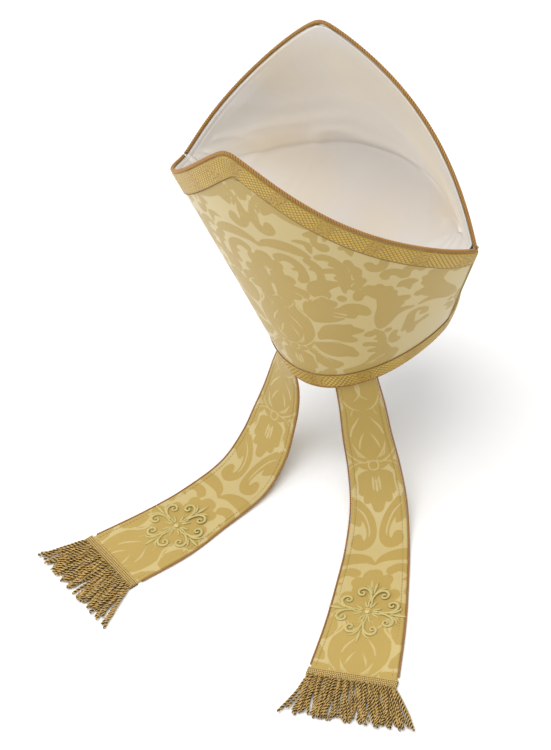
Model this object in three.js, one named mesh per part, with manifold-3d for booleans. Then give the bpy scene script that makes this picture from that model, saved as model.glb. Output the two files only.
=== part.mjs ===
// A bishop's mitre: two stiffened cloth shields on a head-sized rim, a satin web closing the
// valley between their peaks, woven galloon and twisted cord on the edges, and two lappets
// that fall from the back of the rim and lie out flat, each with a cross and a bullion fringe.
// Millimetres, +Z up, front shield towards -Y. The origin is the centre of the head opening.
import Module from 'manifold-3d';
import * as THREE from 'three';
import { mergeVertices } from 'three/addons/utils/BufferGeometryUtils.js';

const wasm = await Module();
wasm.setup();

// --- Driving dimensions -------------------------------------------------------------------
const gap = 0.3; // clearance between neighbouring pieces
const wornTilt = THREE.MathUtils.degToRad(14.5); // the mitre leans back on the head

// The crown: rim, corners and peaks. A section round the head is drawn by an angle phi, which
// is 0 at the middle of a shield and a quarter turn either way at the side seams.
const rimHalfWidth = 84.5;
const cornerHalfWidth = 152.5;
const cornerFullness = 0.916; // below 1 the section broadens faster from its middle
const cornerHeight = 140.5;
const peakHeight = 289;
const shieldForms = {
  front: { side: -1, rimDepth: 98, rimRoundness: 1.05, cornerDepth: 86, cornerRoundness: 2.22 },
  back: { side: 1, rimDepth: 98.5, rimRoundness: 1.3, cornerDepth: 86.5, cornerRoundness: 2.03 },
};
const edgeForm = { power: 1.1526, sag: -0.356, flare: 0.5216, tipRounding: 0.012 };
const bandFlare = 0.85; // the lowest stretch of the wall flares this much less than the rest

const wall = 1.8; // stiffened damask
const galloonWidth = 20;
const galloonThickness = 0.8;
const headbandHeight = 18.5;
const pipingRadius = 1.7;
const rimCordRadius = 1.2;
const wallFoot = 2 * rimCordRadius + gap; // the wall stands on the rim cord

// The satin web: it lines each shield and bridges the valley in a soft U.
const web = {
  thickness: 1.1,
  clearance: 0.7,
  valleyHeight: 117,
  cornerDrop: 6,
  cornerSharpness: 4, // how late towards the corners the valley's foot climbs
  dip: 17,
  endPhi: 1.3,
};
const bezierPull = 0.75; // the share of its two inner control points in the middle of a cubic Bezier

// The lappets. Each row is a cross-section of the cloth where it falls and then lies: the
// middle of the section, the turn of its width about Z, its width and how far its middle bows.
const lappetThickness = 2;
const lappetTuck = 11; // the sewn top, up inside the rim
const lappetSetIn = 0.9; // room between the sewn top and the wall
const lappetRootWidth = 37;
const lappetRootPhi = { left: 0.52, right: -0.5 };
const lappetFalls = {
  left: [
    { x: 45.5, y: 77, z: -48, turn: -22, width: 42, bow: 1.5 },
    { x: 52, y: 80, z: -75, turn: -15, width: 47, bow: 1 },
    { x: 59, y: 87, z: -100, turn: -12, width: 52, bow: 0.5 },
    { x: 61.5, y: 103, z: -120, turn: -11, width: 57, bow: 0 },
    { x: 63, y: 136, z: -133, turn: -14, width: 62, bow: 0 },
    { x: 74, y: 185, z: -136.5, turn: -18, width: 65, bow: 0 },
    { x: 85, y: 224, z: -136.5, turn: -20, width: 71.5, bow: 0 },
    { x: 107, y: 274, z: -136.5, turn: -19, width: 75.5, bow: 0 },
  ],
  right: [
    { x: -43, y: 80, z: -48, turn: 35, width: 38, bow: 1.5 },
    { x: -49, y: 86.5, z: -75, turn: 36, width: 41, bow: 1 },
    { x: -59, y: 96, z: -100, turn: 36, width: 44, bow: 0.5 },
    { x: -73.5, y: 114.5, z: -122, turn: 36, width: 48, bow: 0 },
    { x: -93, y: 148, z: -134.5, turn: 37, width: 54, bow: 0 },
    { x: -111, y: 182, z: -136.5, turn: 35, width: 60, bow: 0 },
    { x: -135, y: 229, z: -136.5, turn: 25, width: 67, bow: 0 },
    { x: -157, y: 279, z: -136.5, turn: 18, width: 75.5, bow: 0 },
  ],
};
const edgeCordRadius = 1;
const cordSpan = { start: 0.16, end: 0.993 }; // the corded part of a lappet's length
const header = { length: 8.5, thickness: 3.6, overhang: 1.5 };
const fringe = {
  length: 44,
  overhang: 1,
  rootThickness: 4.5,
  middleThickness: 5.5,
  tipDroop: 1.5,
  spread: 1.56,
  spreadPower: 0.8, // below 1 the bullions fan out more near their roots
};
const fringeLean = { left: 4, right: 9 }; // how far the tips lie to one side

// The embroidered cross on each lappet, measured along and across the cloth.
const cross = {
  thickness: 1,
  fromEnd: { left: 64, right: 69 },
  armLength: 33,
  armWidth: 2.4,
  leafLength: 15,
  leafWidth: 3.6,
  bossRadius: 3.4,
  scrollRadius: 4.6,
  scrollWidth: 1.9,
  scrollFromTip: 14,
  scrollAside: 5.2,
  scrollStart: 0.95 * Math.PI,
  scrollFinish: -0.6 * Math.PI,
};

// How finely the shapes are stepped: rows and columns of points, and the sides of round cords.
const detail = {
  shieldColumns: 48,
  shieldRows: 9,
  bandRows: 2,
  footSamples: 200,
  piping: { points: 60, steps: 56, sides: 8, endPhi: 0.02 },
  rimCord: { points: 40, steps: 44, sides: 6, endPhi: 0.01 },
  webClimbRows: 4,
  webBridgeRows: 7,
  lappetRows: 40,
  lappetColumns: 4,
  lappetCord: { points: 40, steps: 44, sides: 6 },
  fringeRows: 5,
  fringeColumns: 8,
  curveSegments: 5,
  railSamples: 400,
  phiStep: 0.01, // half the angle over which directions round the crown are measured
  heightStep: 1,
};

// --- Materials ----------------------------------------------------------------------------
const finishes = {
  damask: { color: 0xd9c27c, roughness: 0.55, metalness: 0 },
  satin: { color: 0xf1ede6, roughness: 0.35, metalness: 0 },
  galloon: { color: 0xd2a838, roughness: 0.45, metalness: 0.25 },
  cord: { color: 0x9a6a33, roughness: 0.5, metalness: 0.2 },
  bullion: { color: 0xa8843c, roughness: 0.4, metalness: 0.35 },
  embroidery: { color: 0xb7a75a, roughness: 0.45, metalness: 0.1 },
};

function makePiece(name, geometry, finish) {
  const piece = new THREE.Mesh(geometry, new THREE.MeshStandardMaterial(finishes[finish]));
  piece.name = name;
  return piece;
}

// --- Solids from grids of points ------------------------------------------------------------
const lerp = THREE.MathUtils.lerp;
const steps = (count) => Array.from({ length: count + 1 }, (_, i) => i / count);

// The solid between two grids of points that share their number of rows and columns.
function solidBetween(outerGrid, innerGrid) {
  const rows = outerGrid.length;
  const columns = outerGrid[0].length;
  const positions = [...outerGrid.flat(), ...innerGrid.flat()].flatMap((p) => [p.x, p.y, p.z]);
  const outer = (i, j) => i * columns + j;
  const inner = (i, j) => rows * columns + i * columns + j;
  const faces = [];
  const addQuad = (a, b, c, d) => faces.push(a, b, c, a, c, d);
  for (let i = 0; i < rows - 1; i++) {
    for (let j = 0; j < columns - 1; j++) {
      addQuad(outer(i, j), outer(i + 1, j), outer(i + 1, j + 1), outer(i, j + 1));
      addQuad(inner(i, j), inner(i, j + 1), inner(i + 1, j + 1), inner(i + 1, j));
    }
    addQuad(outer(i, 0), inner(i, 0), inner(i + 1, 0), outer(i + 1, 0));
    addQuad(outer(i + 1, columns - 1), inner(i + 1, columns - 1), inner(i, columns - 1), outer(i, columns - 1));
  }
  for (let j = 0; j < columns - 1; j++) {
    addQuad(outer(0, j + 1), inner(0, j + 1), inner(0, j), outer(0, j));
    addQuad(outer(rows - 1, j), inner(rows - 1, j), inner(rows - 1, j + 1), outer(rows - 1, j + 1));
  }
  if (signedVolume(positions, faces) < 0) faces.reverse();
  const geometry = new THREE.BufferGeometry();
  geometry.setAttribute('position', new THREE.Float32BufferAttribute(positions, 3));
  geometry.setIndex(faces);
  const merged = mergeVertices(geometry);
  merged.computeVertexNormals();
  return merged;
}

function signedVolume(positions, faces) {
  const at = (k) => new THREE.Vector3().fromArray(positions, 3 * k);
  let volume = 0;
  for (let f = 0; f < faces.length; f += 3) {
    volume += at(faces[f]).dot(at(faces[f + 1]).cross(at(faces[f + 2]))) / 6;
  }
  return volume;
}

// A closed geometry as a solid that manifold-3d can join.
function solidFrom(geometry) {
  geometry.deleteAttribute('normal');
  geometry.deleteAttribute('uv');
  const merged = mergeVertices(geometry, 1e-3);
  const vertProperties = new Float32Array(merged.attributes.position.array);
  const triVerts = new Uint32Array(merged.index.array);
  return new wasm.Manifold(new wasm.Mesh({ numProp: 3, vertProperties, triVerts }));
}

// A round cord along a list of points.
function cordAlong(points, radius, sides, count) {
  const outline = new THREE.Shape();
  for (let k = 0; k < sides; k++) {
    const angle = (2 * Math.PI * k) / sides;
    const move = k === 0 ? 'moveTo' : 'lineTo';
    outline[move](radius * Math.cos(angle), radius * Math.sin(angle));
  }
  const extrudePath = new THREE.CatmullRomCurve3(points);
  return new THREE.ExtrudeGeometry(outline, { steps: count, extrudePath });
}

// --- The crown --------------------------------------------------------------------------------
// How far the wall has spread from rim to corners at a height.
function spreadAt(height) {
  const slack = headbandHeight * (1 - bandFlare);
  return (height - slack * Math.min(height / headbandHeight, 1)) / (cornerHeight - slack);
}

function wallPoint(form, phi, height) {
  const across = Math.sin(phi);
  const forward = Math.max(Math.cos(phi), 0);
  const rimX = rimHalfWidth * across;
  const rimY = form.rimDepth * forward ** form.rimRoundness;
  const cornerX = cornerHalfWidth * Math.sign(across) * Math.abs(across) ** cornerFullness;
  const cornerY = form.cornerDepth * forward ** form.cornerRoundness;
  const spread = spreadAt(height);
  return new THREE.Vector3(lerp(rimX, cornerX, spread), form.side * lerp(rimY, cornerY, spread), height);
}

function edgeHeight(phi) {
  const { power, sag, flare, tipRounding } = edgeForm;
  const s = Math.min(Math.hypot(Math.sin(phi), tipRounding), 1);
  return cornerHeight + (peakHeight - cornerHeight) * (1 - s) ** power * (1 + sag * s + flare * s * s);
}

// The same angle, kept far enough from the seams for directions to be measured round it.
function offSeams(phi) {
  const limit = Math.PI / 2 - 2 * detail.phiStep;
  return THREE.MathUtils.clamp(phi, -limit, limit);
}

function wallNormal(form, phi, height) {
  const { phiStep, heightStep } = detail;
  const middle = offSeams(phi);
  const round = wallPoint(form, middle + phiStep, height).sub(wallPoint(form, middle - phiStep, height));
  const up = wallPoint(form, middle, height + heightStep).sub(wallPoint(form, middle, height - heightStep));
  return up.cross(round).multiplyScalar(form.side).normalize();
}

// A point on the wall's outer face moved out by an offset, kept on its own side of the seams.
function shieldPoint(form, phi, height, offset) {
  const point = wallPoint(form, phi, height).addScaledVector(wallNormal(form, phi, height), offset);
  point.y = form.side * Math.max(form.side * point.y, gap / 2);
  return point;
}

// Every layer of cloth has its columns at the same angles, so that the layers nest.
const shieldColumns = steps(detail.shieldColumns).map((u) => (u - 0.5) * Math.PI);

// A layer of cloth over part of a shield, from one height to another and between two offsets.
function shieldLayer(form, low, high, innerOffset, outerOffset, rowCount) {
  const gridAt = (offset) => shieldColumns.map((phi) => (
    steps(rowCount).map((v) => shieldPoint(form, phi, lerp(low(phi), high(phi), v), offset))));
  return solidBetween(gridAt(outerOffset), gridAt(innerOffset));
}

// The direction in the shield's face at right angles to its top edge, pointing off the cloth.
function offEdge(form, phi) {
  const middle = offSeams(phi);
  const edgePoint = (angle) => wallPoint(form, angle, edgeHeight(angle));
  const along = edgePoint(middle + detail.phiStep).sub(edgePoint(middle - detail.phiStep));
  const off = along.cross(wallNormal(form, middle, edgeHeight(middle))).normalize();
  return off.z < 0 ? off.negate() : off;
}

// The galloon's lower edge, as a height for each phi: the top edge moved in by the width.
function galloonFoot(form) {
  const { phiStep } = detail;
  const foot = steps(detail.footSamples).map((u) => {
    const phi = (u * Math.PI) / 2;
    const start = wallPoint(form, phi, edgeHeight(phi));
    const target = start.clone().addScaledVector(offEdge(form, phi), -galloonWidth);
    const cut = wallPoint(form, phi, target.z);
    const perPhi = wallPoint(form, phi + phiStep, target.z).sub(wallPoint(form, phi - phiStep, target.z));
    const shift = (2 * phiStep * (target.x - cut.x)) / (perPhi.x || 1);
    return { phi: phi + shift, height: target.z };
  });
  return (phi) => {
    const wanted = Math.abs(phi);
    const next = foot.findIndex((row) => row.phi >= wanted);
    if (next < 0) return foot.at(-1).height;
    if (next === 0) return foot[0].height;
    const before = foot[next - 1];
    const part = (wanted - before.phi) / (foot[next].phi - before.phi);
    return lerp(before.height, foot[next].height, part);
  };
}

// Twisted cord on the top edge, from corner to corner.
function edgePiping(form) {
  const { points: count, steps: cordSteps, sides, endPhi } = detail.piping;
  const reach = Math.PI / 2 - endPhi;
  const points = steps(count).map((u) => {
    const phi = lerp(-reach, reach, u);
    const point = shieldPoint(form, phi, edgeHeight(phi), -wall / 2);
    point.addScaledVector(offEdge(form, phi), pipingRadius + gap);
    point.y = form.side * Math.max(form.side * point.y, pipingRadius + gap / 2);
    return point;
  });
  return cordAlong(points, pipingRadius, sides, cordSteps);
}

// Cord under the rim, half of it on each shield.
function rimCord(form) {
  const { points: count, steps: cordSteps, sides, endPhi } = detail.rimCord;
  const reach = Math.PI / 2 - endPhi;
  const points = steps(count).map((u) => {
    const phi = lerp(-reach, reach, u);
    const point = shieldPoint(form, phi, 0, galloonThickness - rimCordRadius);
    point.y = form.side * Math.max(form.side * point.y, rimCordRadius + gap / 2);
    return point.setZ(rimCordRadius);
  });
  return cordAlong(points, rimCordRadius, sides, cordSteps);
}

// The satin web: down the inside of the front, across the valley and up the inside of the back.
function satinWeb() {
  const rootHeight = (phi) => {
    const corner = cornerHeight - web.cornerDrop;
    return lerp(web.valleyHeight, corner, Math.abs(Math.sin(phi)) ** web.cornerSharpness);
  };
  const against = -(wall + web.clearance);
  const webColumns = shieldColumns.filter((phi) => Math.abs(phi) < web.endPhi);
  const gridAt = (lift) => webColumns.map((phi) => {
    const root = rootHeight(phi);
    const lining = (form, height) => (
      wallPoint(form, phi, height).addScaledVector(wallNormal(form, phi, height), against - lift));
    const { front, back } = shieldForms;
    const low = root - web.dip * Math.cos(phi) + lift / bezierPull;
    const corners = [lining(front, root), lining(front, low), lining(back, low), lining(back, root)];
    const bridge = new THREE.CubicBezierCurve3(...corners);
    const climb = steps(detail.webClimbRows).map((v) => lerp(root, edgeHeight(phi) - gap, v));
    return [
      ...climb.map((height) => lining(front, height)).reverse(),
      ...steps(detail.webBridgeRows).slice(1, -1).map((v) => bridge.getPoint(v)),
      ...climb.map((height) => lining(back, height)),
    ];
  });
  return solidBetween(gridAt(0), gridAt(web.thickness));
}

// --- The lappets ------------------------------------------------------------------------------
const sectionSteps = steps(detail.lappetColumns).map((u) => 2 * u - 1);

// The sewn top of a lappet follows the inside of the back wall.
function tuckedSection(phi, height) {
  const offset = -(wall + lappetSetIn + lappetThickness / 2);
  const { phiStep } = detail;
  const foot = wallPoint(shieldForms.back, phi, height);
  const perStep = wallPoint(shieldForms.back, phi + phiStep, height).distanceTo(foot);
  const reach = (phiStep * lappetRootWidth) / 2 / perStep;
  return sectionSteps.map((k) => {
    const point = shieldPoint(shieldForms.back, phi + k * reach, height, offset);
    return point.applyAxisAngle(new THREE.Vector3(1, 0, 0), -wornTilt);
  });
}

function fallingSection({ x, y, z, turn, width, bow }) {
  const angle = THREE.MathUtils.degToRad(turn);
  const lateral = new THREE.Vector3(Math.cos(angle), Math.sin(angle), 0);
  const outward = new THREE.Vector3(-Math.sin(angle), Math.cos(angle), 0);
  return sectionSteps.map((k) => new THREE.Vector3(x, y, z)
    .addScaledVector(lateral, (k * width) / 2)
    .addScaledVector(outward, -bow * k * k));
}

// The middle surface of a lappet, as rails through its sections, and its normals.
function lappetSurface(hand) {
  const rootPhi = lappetRootPhi[hand];
  const sections = [
    tuckedSection(rootPhi, lappetTuck),
    tuckedSection(rootPhi, 0),
    ...lappetFalls[hand].map(fallingSection),
  ];
  const rails = sectionSteps.map((_, k) => new THREE.CatmullRomCurve3(sections.map((row) => row[k])));
  const pointAt = (u, k) => rails[k].getPoint(u);
  const normalAt = (u, k) => {
    const along = rails[k].getTangent(u);
    const last = sectionSteps.length - 1;
    const over = pointAt(u, Math.min(k + 1, last)).sub(pointAt(u, Math.max(k - 1, 0)));
    return over.cross(along).normalize();
  };
  return { rails, pointAt, normalAt };
}

function lappetCloth(surface) {
  const gridAt = (offset) => steps(detail.lappetRows).map((u) => sectionSteps.map((_, k) => (
    surface.pointAt(u, k).addScaledVector(surface.normalAt(u, k), offset))));
  return solidBetween(gridAt(lappetThickness / 2), gridAt(-lappetThickness / 2));
}

// Cord down one long edge of a lappet, from below the rim to the end of the cloth.
function lappetCord(surface, k) {
  const inward = k === 0 ? 1 : -1;
  const { points: count, steps: cordSteps, sides } = detail.lappetCord;
  const points = steps(count).map((u) => {
    const along = lerp(cordSpan.start, cordSpan.end, u);
    const point = surface.pointAt(along, k);
    const side = point.clone().sub(surface.pointAt(along, k + inward)).normalize();
    return point.addScaledVector(side, edgeCordRadius + gap);
  });
  return cordAlong(points, edgeCordRadius, sides, cordSteps);
}

// The frame at the free end of a lappet: where it ends, which way it runs and its width.
function lappetEnd(surface) {
  const last = sectionSteps.length - 1;
  const origin = surface.pointAt(1, last / 2);
  const up = new THREE.Vector3(0, 0, 1);
  const across = surface.pointAt(1, 0).sub(surface.pointAt(1, last)).normalize();
  const along = new THREE.Vector3().crossVectors(across, up);
  const width = surface.pointAt(1, 0).distanceTo(surface.pointAt(1, last));
  return { origin, along, across, up, width };
}

function slabBeyondEnd(end, stations, across) {
  const floorLevel = end.origin.z - lappetThickness / 2;
  const gridAt = (isTop) => stations.map(({ run, halfWidth, top, aside = 0 }) => steps(across).map((u) => {
    const point = end.origin.clone()
      .addScaledVector(end.along, run)
      .addScaledVector(end.across, aside + lerp(-halfWidth, halfWidth, u));
    return point.setZ(isTop ? floorLevel + top : floorLevel);
  }));
  return solidBetween(gridAt(true), gridAt(false));
}

function fringeHeader(end) {
  const halfWidth = end.width / 2 + header.overhang;
  return slabBeyondEnd(end, [
    { run: gap, halfWidth, top: header.thickness },
    { run: gap + header.length, halfWidth, top: header.thickness },
  ], 1);
}

// The outer form of the hanging bullions, fanned a little over the surface they lie on.
function fringeForm(end, lean) {
  const start = 2 * gap + header.length;
  const rootHalf = end.width / 2 + fringe.overhang;
  const { rootThickness, middleThickness, tipDroop, spread, spreadPower } = fringe;
  const stations = steps(detail.fringeRows).map((u) => ({
    run: start + u * fringe.length,
    halfWidth: rootHalf * lerp(1, spread, u ** spreadPower),
    top: lerp(rootThickness, middleThickness, Math.sin(u * Math.PI)) - tipDroop * u * u,
    aside: lean * u,
  }));
  return slabBeyondEnd(end, stations, detail.fringeColumns);
}

// A flat piece of the embroidery, as a solid that can be joined to the others.
function embroideredSolid(outline) {
  const { curveSegments } = detail;
  return solidFrom(new THREE.ExtrudeGeometry(outline, { depth: cross.thickness, bevelEnabled: false, curveSegments }));
}

// A scroll: most of a ring that curls away from the tip of its arm.
function scrollOutline(hand) {
  const { armLength, scrollRadius, scrollWidth, scrollFromTip, scrollAside, scrollStart, scrollFinish } = cross;
  const outline = new THREE.Shape();
  const [x, y] = [hand * scrollAside, armLength - scrollFromTip];
  const [start, finish] = [scrollStart, scrollFinish].map((angle) => (hand > 0 ? angle : Math.PI - angle));
  outline.absarc(x, y, scrollRadius, start, finish, hand > 0);
  outline.absarc(x, y, scrollRadius - scrollWidth, finish, start, hand < 0);
  return outline;
}

// One arm: a stem, a long leaf at its tip and a scroll on each side.
function crossArm() {
  const { armLength, armWidth, leafLength, leafWidth } = cross;
  const stem = new THREE.Shape();
  stem.moveTo(-armWidth / 2, 0);
  stem.lineTo(armWidth / 2, 0);
  stem.lineTo(armWidth / 2, armLength - leafLength / 2);
  stem.lineTo(-armWidth / 2, armLength - leafLength / 2);
  const leaf = new THREE.Shape();
  leaf.moveTo(0, armLength - leafLength);
  leaf.quadraticCurveTo(leafWidth, armLength - leafLength / 2, 0, armLength);
  leaf.quadraticCurveTo(-leafWidth, armLength - leafLength / 2, 0, armLength - leafLength);
  return [stem, leaf, scrollOutline(1), scrollOutline(-1)].map(embroideredSolid);
}

function crossSolid(surface, end, fromEnd) {
  const boss = embroideredSolid(new THREE.Shape().absarc(0, 0, cross.bossRadius, 0, 2 * Math.PI));
  const arms = [0, 90, 180, 270].flatMap((turn) => crossArm().map((piece) => piece.rotate([0, 0, turn])));
  const joined = arms.reduce((whole, piece) => whole.add(piece), boss).getMesh();
  const geometry = new THREE.BufferGeometry();
  geometry.setAttribute('position', new THREE.BufferAttribute(joined.vertProperties, 3));
  geometry.setIndex(new THREE.BufferAttribute(joined.triVerts, 1));
  const middle = nearestOnRail(surface, end.origin.clone().addScaledVector(end.along, -fromEnd));
  const place = new THREE.Matrix4().makeBasis(end.across.clone().negate(), end.along, end.up);
  geometry.applyMatrix4(place.setPosition(middle.setZ(end.origin.z + lappetThickness / 2 + gap)));
  geometry.computeVertexNormals();
  return geometry;
}

// The point of the middle rail nearest to a place.
function nearestOnRail(surface, place) {
  const rail = surface.rails[(sectionSteps.length - 1) / 2];
  const distanceAt = (u) => rail.getPoint(u).distanceTo(place);
  const nearest = steps(detail.railSamples).reduce((best, u) => (distanceAt(u) < distanceAt(best) ? u : best));
  return rail.getPoint(nearest);
}

// --- Assembly ---------------------------------------------------------------------------------
function crownPieces(name, form) {
  const foot = galloonFoot(form);
  const overWall = gap + galloonThickness;
  const edgeClear = (phi) => edgeHeight(phi) - gap;
  const { shieldRows, bandRows } = detail;
  const headband = shieldLayer(form, () => wallFoot, () => headbandHeight, gap, overWall, bandRows);
  return [
    makePiece(`${name}_shield`, shieldLayer(form, () => wallFoot, edgeHeight, -wall, 0, shieldRows), 'damask'),
    makePiece(`galloon_${name}`, shieldLayer(form, foot, edgeClear, gap, overWall, bandRows), 'galloon'),
    makePiece(`headband_${name}`, headband, 'galloon'),
    makePiece(`piping_${name}`, edgePiping(form), 'cord'),
    makePiece(`rim_cord_${name}`, rimCord(form), 'cord'),
  ];
}

function lappetPieces(hand) {
  const surface = lappetSurface(hand);
  const end = lappetEnd(surface);
  const last = sectionSteps.length - 1;
  return [
    makePiece(`lappet_${hand}`, lappetCloth(surface), 'damask'),
    makePiece(`lappet_${hand}_cord_a`, lappetCord(surface, 0), 'cord'),
    makePiece(`lappet_${hand}_cord_b`, lappetCord(surface, last), 'cord'),
    makePiece(`cross_${hand}`, crossSolid(surface, end, cross.fromEnd[hand]), 'embroidery'),
    makePiece(`fringe_header_${hand}`, fringeHeader(end), 'galloon'),
    makePiece(`fringe_${hand}`, fringeForm(end, fringeLean[hand]), 'bullion'),
  ];
}

const group = new THREE.Group();
const crown = new THREE.Group();
crown.rotation.x = -wornTilt;
crown.add(...crownPieces('front', shieldForms.front));
crown.add(...crownPieces('back', shieldForms.back));
crown.add(makePiece('satin_web', satinWeb(), 'satin'));
group.add(crown, ...lappetPieces('left'), ...lappetPieces('right'));

export default group;
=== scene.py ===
import math
import random

import bmesh
import bpy
import numpy as np
from mathutils import Matrix, Vector


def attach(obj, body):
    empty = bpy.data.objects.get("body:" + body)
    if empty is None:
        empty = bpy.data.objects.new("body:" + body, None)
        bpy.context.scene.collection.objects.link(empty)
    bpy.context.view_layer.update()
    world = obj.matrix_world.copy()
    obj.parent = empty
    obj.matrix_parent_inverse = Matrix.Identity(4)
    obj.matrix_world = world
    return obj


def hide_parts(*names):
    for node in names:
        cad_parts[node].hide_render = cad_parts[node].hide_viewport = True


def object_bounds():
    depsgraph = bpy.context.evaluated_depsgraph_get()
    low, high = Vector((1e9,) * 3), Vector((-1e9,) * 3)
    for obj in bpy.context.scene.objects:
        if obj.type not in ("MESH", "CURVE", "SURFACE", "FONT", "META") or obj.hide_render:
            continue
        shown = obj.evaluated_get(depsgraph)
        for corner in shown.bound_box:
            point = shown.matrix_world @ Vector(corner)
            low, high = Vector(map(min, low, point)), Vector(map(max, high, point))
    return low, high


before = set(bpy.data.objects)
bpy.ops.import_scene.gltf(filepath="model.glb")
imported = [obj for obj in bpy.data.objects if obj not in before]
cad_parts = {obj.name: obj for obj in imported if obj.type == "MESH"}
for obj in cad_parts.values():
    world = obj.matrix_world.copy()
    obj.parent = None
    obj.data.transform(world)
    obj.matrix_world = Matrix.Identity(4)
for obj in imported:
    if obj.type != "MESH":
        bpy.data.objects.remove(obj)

cadBox = [list(corner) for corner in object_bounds()]
scene = bpy.context.scene
mm = 0.001
print("frame loaded")


viewpoint = {
    "azimuth": 223.28,
    "elevation": 41.36,
    "roll": -11.0,  # the camera is tipped a little to one side
    "distance": 1.957,
    "aim": (0.0448, 0.0884, -0.0382),
    "lens": 104.59,
    "sensor": 36.0,
}


def placeCamera():
    turn, lift, roll = (math.radians(viewpoint[k]) for k in ("azimuth", "elevation", "roll"))
    back = Vector((math.sin(turn) * math.cos(lift), -math.cos(turn) * math.cos(lift), math.sin(lift)))
    level = Vector((0, 0, 1)).cross(back).normalized()
    upright = back.cross(level)
    right = level * math.cos(roll) + upright * math.sin(roll)
    up = upright * math.cos(roll) - level * math.sin(roll)
    camera = bpy.data.objects.new("camera", bpy.data.cameras.new("camera"))
    camera.data.lens = viewpoint["lens"]
    camera.data.sensor_width = viewpoint["sensor"]
    camera.matrix_world = Matrix.Translation(Vector(viewpoint["aim"]) + back * viewpoint["distance"]) @ (
        Matrix((right, up, back)).transposed().to_4x4())
    scene.collection.objects.link(camera)
    scene.camera = camera


placeCamera()


def buildMesh(name, parts, finishes):
    # parts: (points, faces, {attribute: values}, index of its finish); all of them go into one object
    points = np.concatenate([part[0] for part in parts])
    starts = np.cumsum([0] + [len(part[0]) for part in parts])
    faces = [face + start for part, start in zip(parts, starts) for face in part[1]]
    mesh = bpy.data.meshes.new(name)
    mesh.vertices.add(len(points))
    mesh.vertices.foreach_set("co", points.astype(np.float32).ravel())
    corners = np.concatenate([face.ravel() for face in faces])
    sizes = np.concatenate([np.full(len(face), face.shape[1]) for face in faces])
    mesh.loops.add(len(corners))
    mesh.loops.foreach_set("vertex_index", corners.astype(np.int32))
    mesh.polygons.add(len(sizes))
    mesh.polygons.foreach_set("loop_start", (np.cumsum(sizes) - sizes).astype(np.int32))
    which = np.concatenate([np.full(len(face), part[3]) for part in parts for face in part[1]])
    mesh.polygons.foreach_set("material_index", which.astype(np.int32))
    for key in sorted({key for part in parts for key in part[2]}):
        single = next(part[2][key] for part in parts if key in part[2]).ndim == 1
        blanks = [np.zeros(len(part[0]) if single else (len(part[0]), 3)) for part in parts]
        values = np.concatenate([part[2].get(key, blank) for part, blank in zip(parts, blanks)])
        attribute = mesh.attributes.new(key, "FLOAT" if single else "FLOAT_VECTOR", "POINT")
        attribute.data.foreach_set("value" if single else "vector", values.astype(np.float32).ravel())
    mesh.update(calc_edges=True)
    mesh.validate()
    shell = bmesh.new()
    shell.from_mesh(mesh)
    bmesh.ops.recalc_face_normals(shell, faces=shell.faces)
    shell.to_mesh(mesh)
    shell.free()
    mesh.shade_smooth()
    for finish in finishes:
        mesh.materials.append(finish)
    piece = bpy.data.objects.new(name, mesh)
    scene.collection.objects.link(piece)
    return piece


def placePiece(name, parts, finishes, replaced=None):
    piece = buildMesh(name, parts, finishes)
    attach(piece, "root")
    if replaced:
        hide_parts(replaced)
    return piece


def gridLength(points, axis):
    # how far each place of a grid lies along its rows or columns
    steps = np.linalg.norm(np.diff(points, axis=axis), axis=-1)
    return np.concatenate([np.zeros_like(steps.take([0], axis)), np.cumsum(steps, axis)], axis)


def gridFaces(rows, columns, start=0, closed=False, flip=False):
    i, j = np.meshgrid(np.arange(rows - 1), np.arange(columns if closed else columns - 1), indexing="ij")
    following = (j + 1) % columns
    quads = np.stack([i * columns + j, i * columns + following, (i + 1) * columns + following,
                      (i + 1) * columns + j], -1).reshape(-1, 4) + start
    return quads[:, ::-1] if flip else quads


def stitchBorder(fine, coarse, flip=False):
    # the strip of triangles between two lines of vertex numbers with different counts
    faces = []
    i = j = 0
    while i < len(fine) - 1 or j < len(coarse) - 1:
        ahead = (i + 1) / (len(fine) - 1) if i < len(fine) - 1 else 2
        behind = (j + 1) / (len(coarse) - 1) if j < len(coarse) - 1 else 2
        if ahead <= behind:
            faces.append((fine[i], fine[i + 1], coarse[j]))
            i += 1
        else:
            faces.append((fine[i], coarse[j + 1], coarse[j]))
            j += 1
    faces = np.array(faces)
    return faces[:, ::-1] if flip else faces


def clothSolid(front, back, attributes, flip=False, backFinish=1):
    # a closed cloth from a fine grid of points for its face and a coarser one for its reverse
    rows, columns = front.shape[:2]
    backRows, backColumns = back.shape[:2]
    start = rows * columns
    faceNumbers = np.arange(start).reshape(rows, columns)
    backNumbers = np.arange(backRows * backColumns).reshape(backRows, backColumns) + start
    borders = [
        stitchBorder(faceNumbers[0], backNumbers[0], not flip),
        stitchBorder(faceNumbers[-1], backNumbers[-1], flip),
        stitchBorder(faceNumbers[:, 0], backNumbers[:, 0], flip),
        stitchBorder(faceNumbers[:, -1], backNumbers[:, -1], not flip),
    ]
    points = np.concatenate([front.reshape(-1, 3), back.reshape(-1, 3)])
    spare = backRows * backColumns
    padded = {}
    for key, values in attributes.items():
        flat = values.reshape(start, -1) if values.ndim == 3 else values.reshape(start)
        padded[key] = np.concatenate([flat, np.zeros((spare, 3) if flat.ndim == 2 else spare)])
    reverse = gridFaces(backRows, backColumns, start, flip=not flip)
    shared = [(points, [gridFaces(rows, columns, flip=flip), *borders], padded, 0)]
    lining = (np.zeros((0, 3)), [reverse - len(points)], {}, backFinish)
    return shared + [lining]


def unit(vectors):
    return vectors / np.maximum(np.linalg.norm(vectors, axis=-1, keepdims=True), 1e-12)


def pathLength(points):
    return np.concatenate([[0], np.cumsum(np.linalg.norm(np.diff(points, axis=0), axis=1))])


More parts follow.
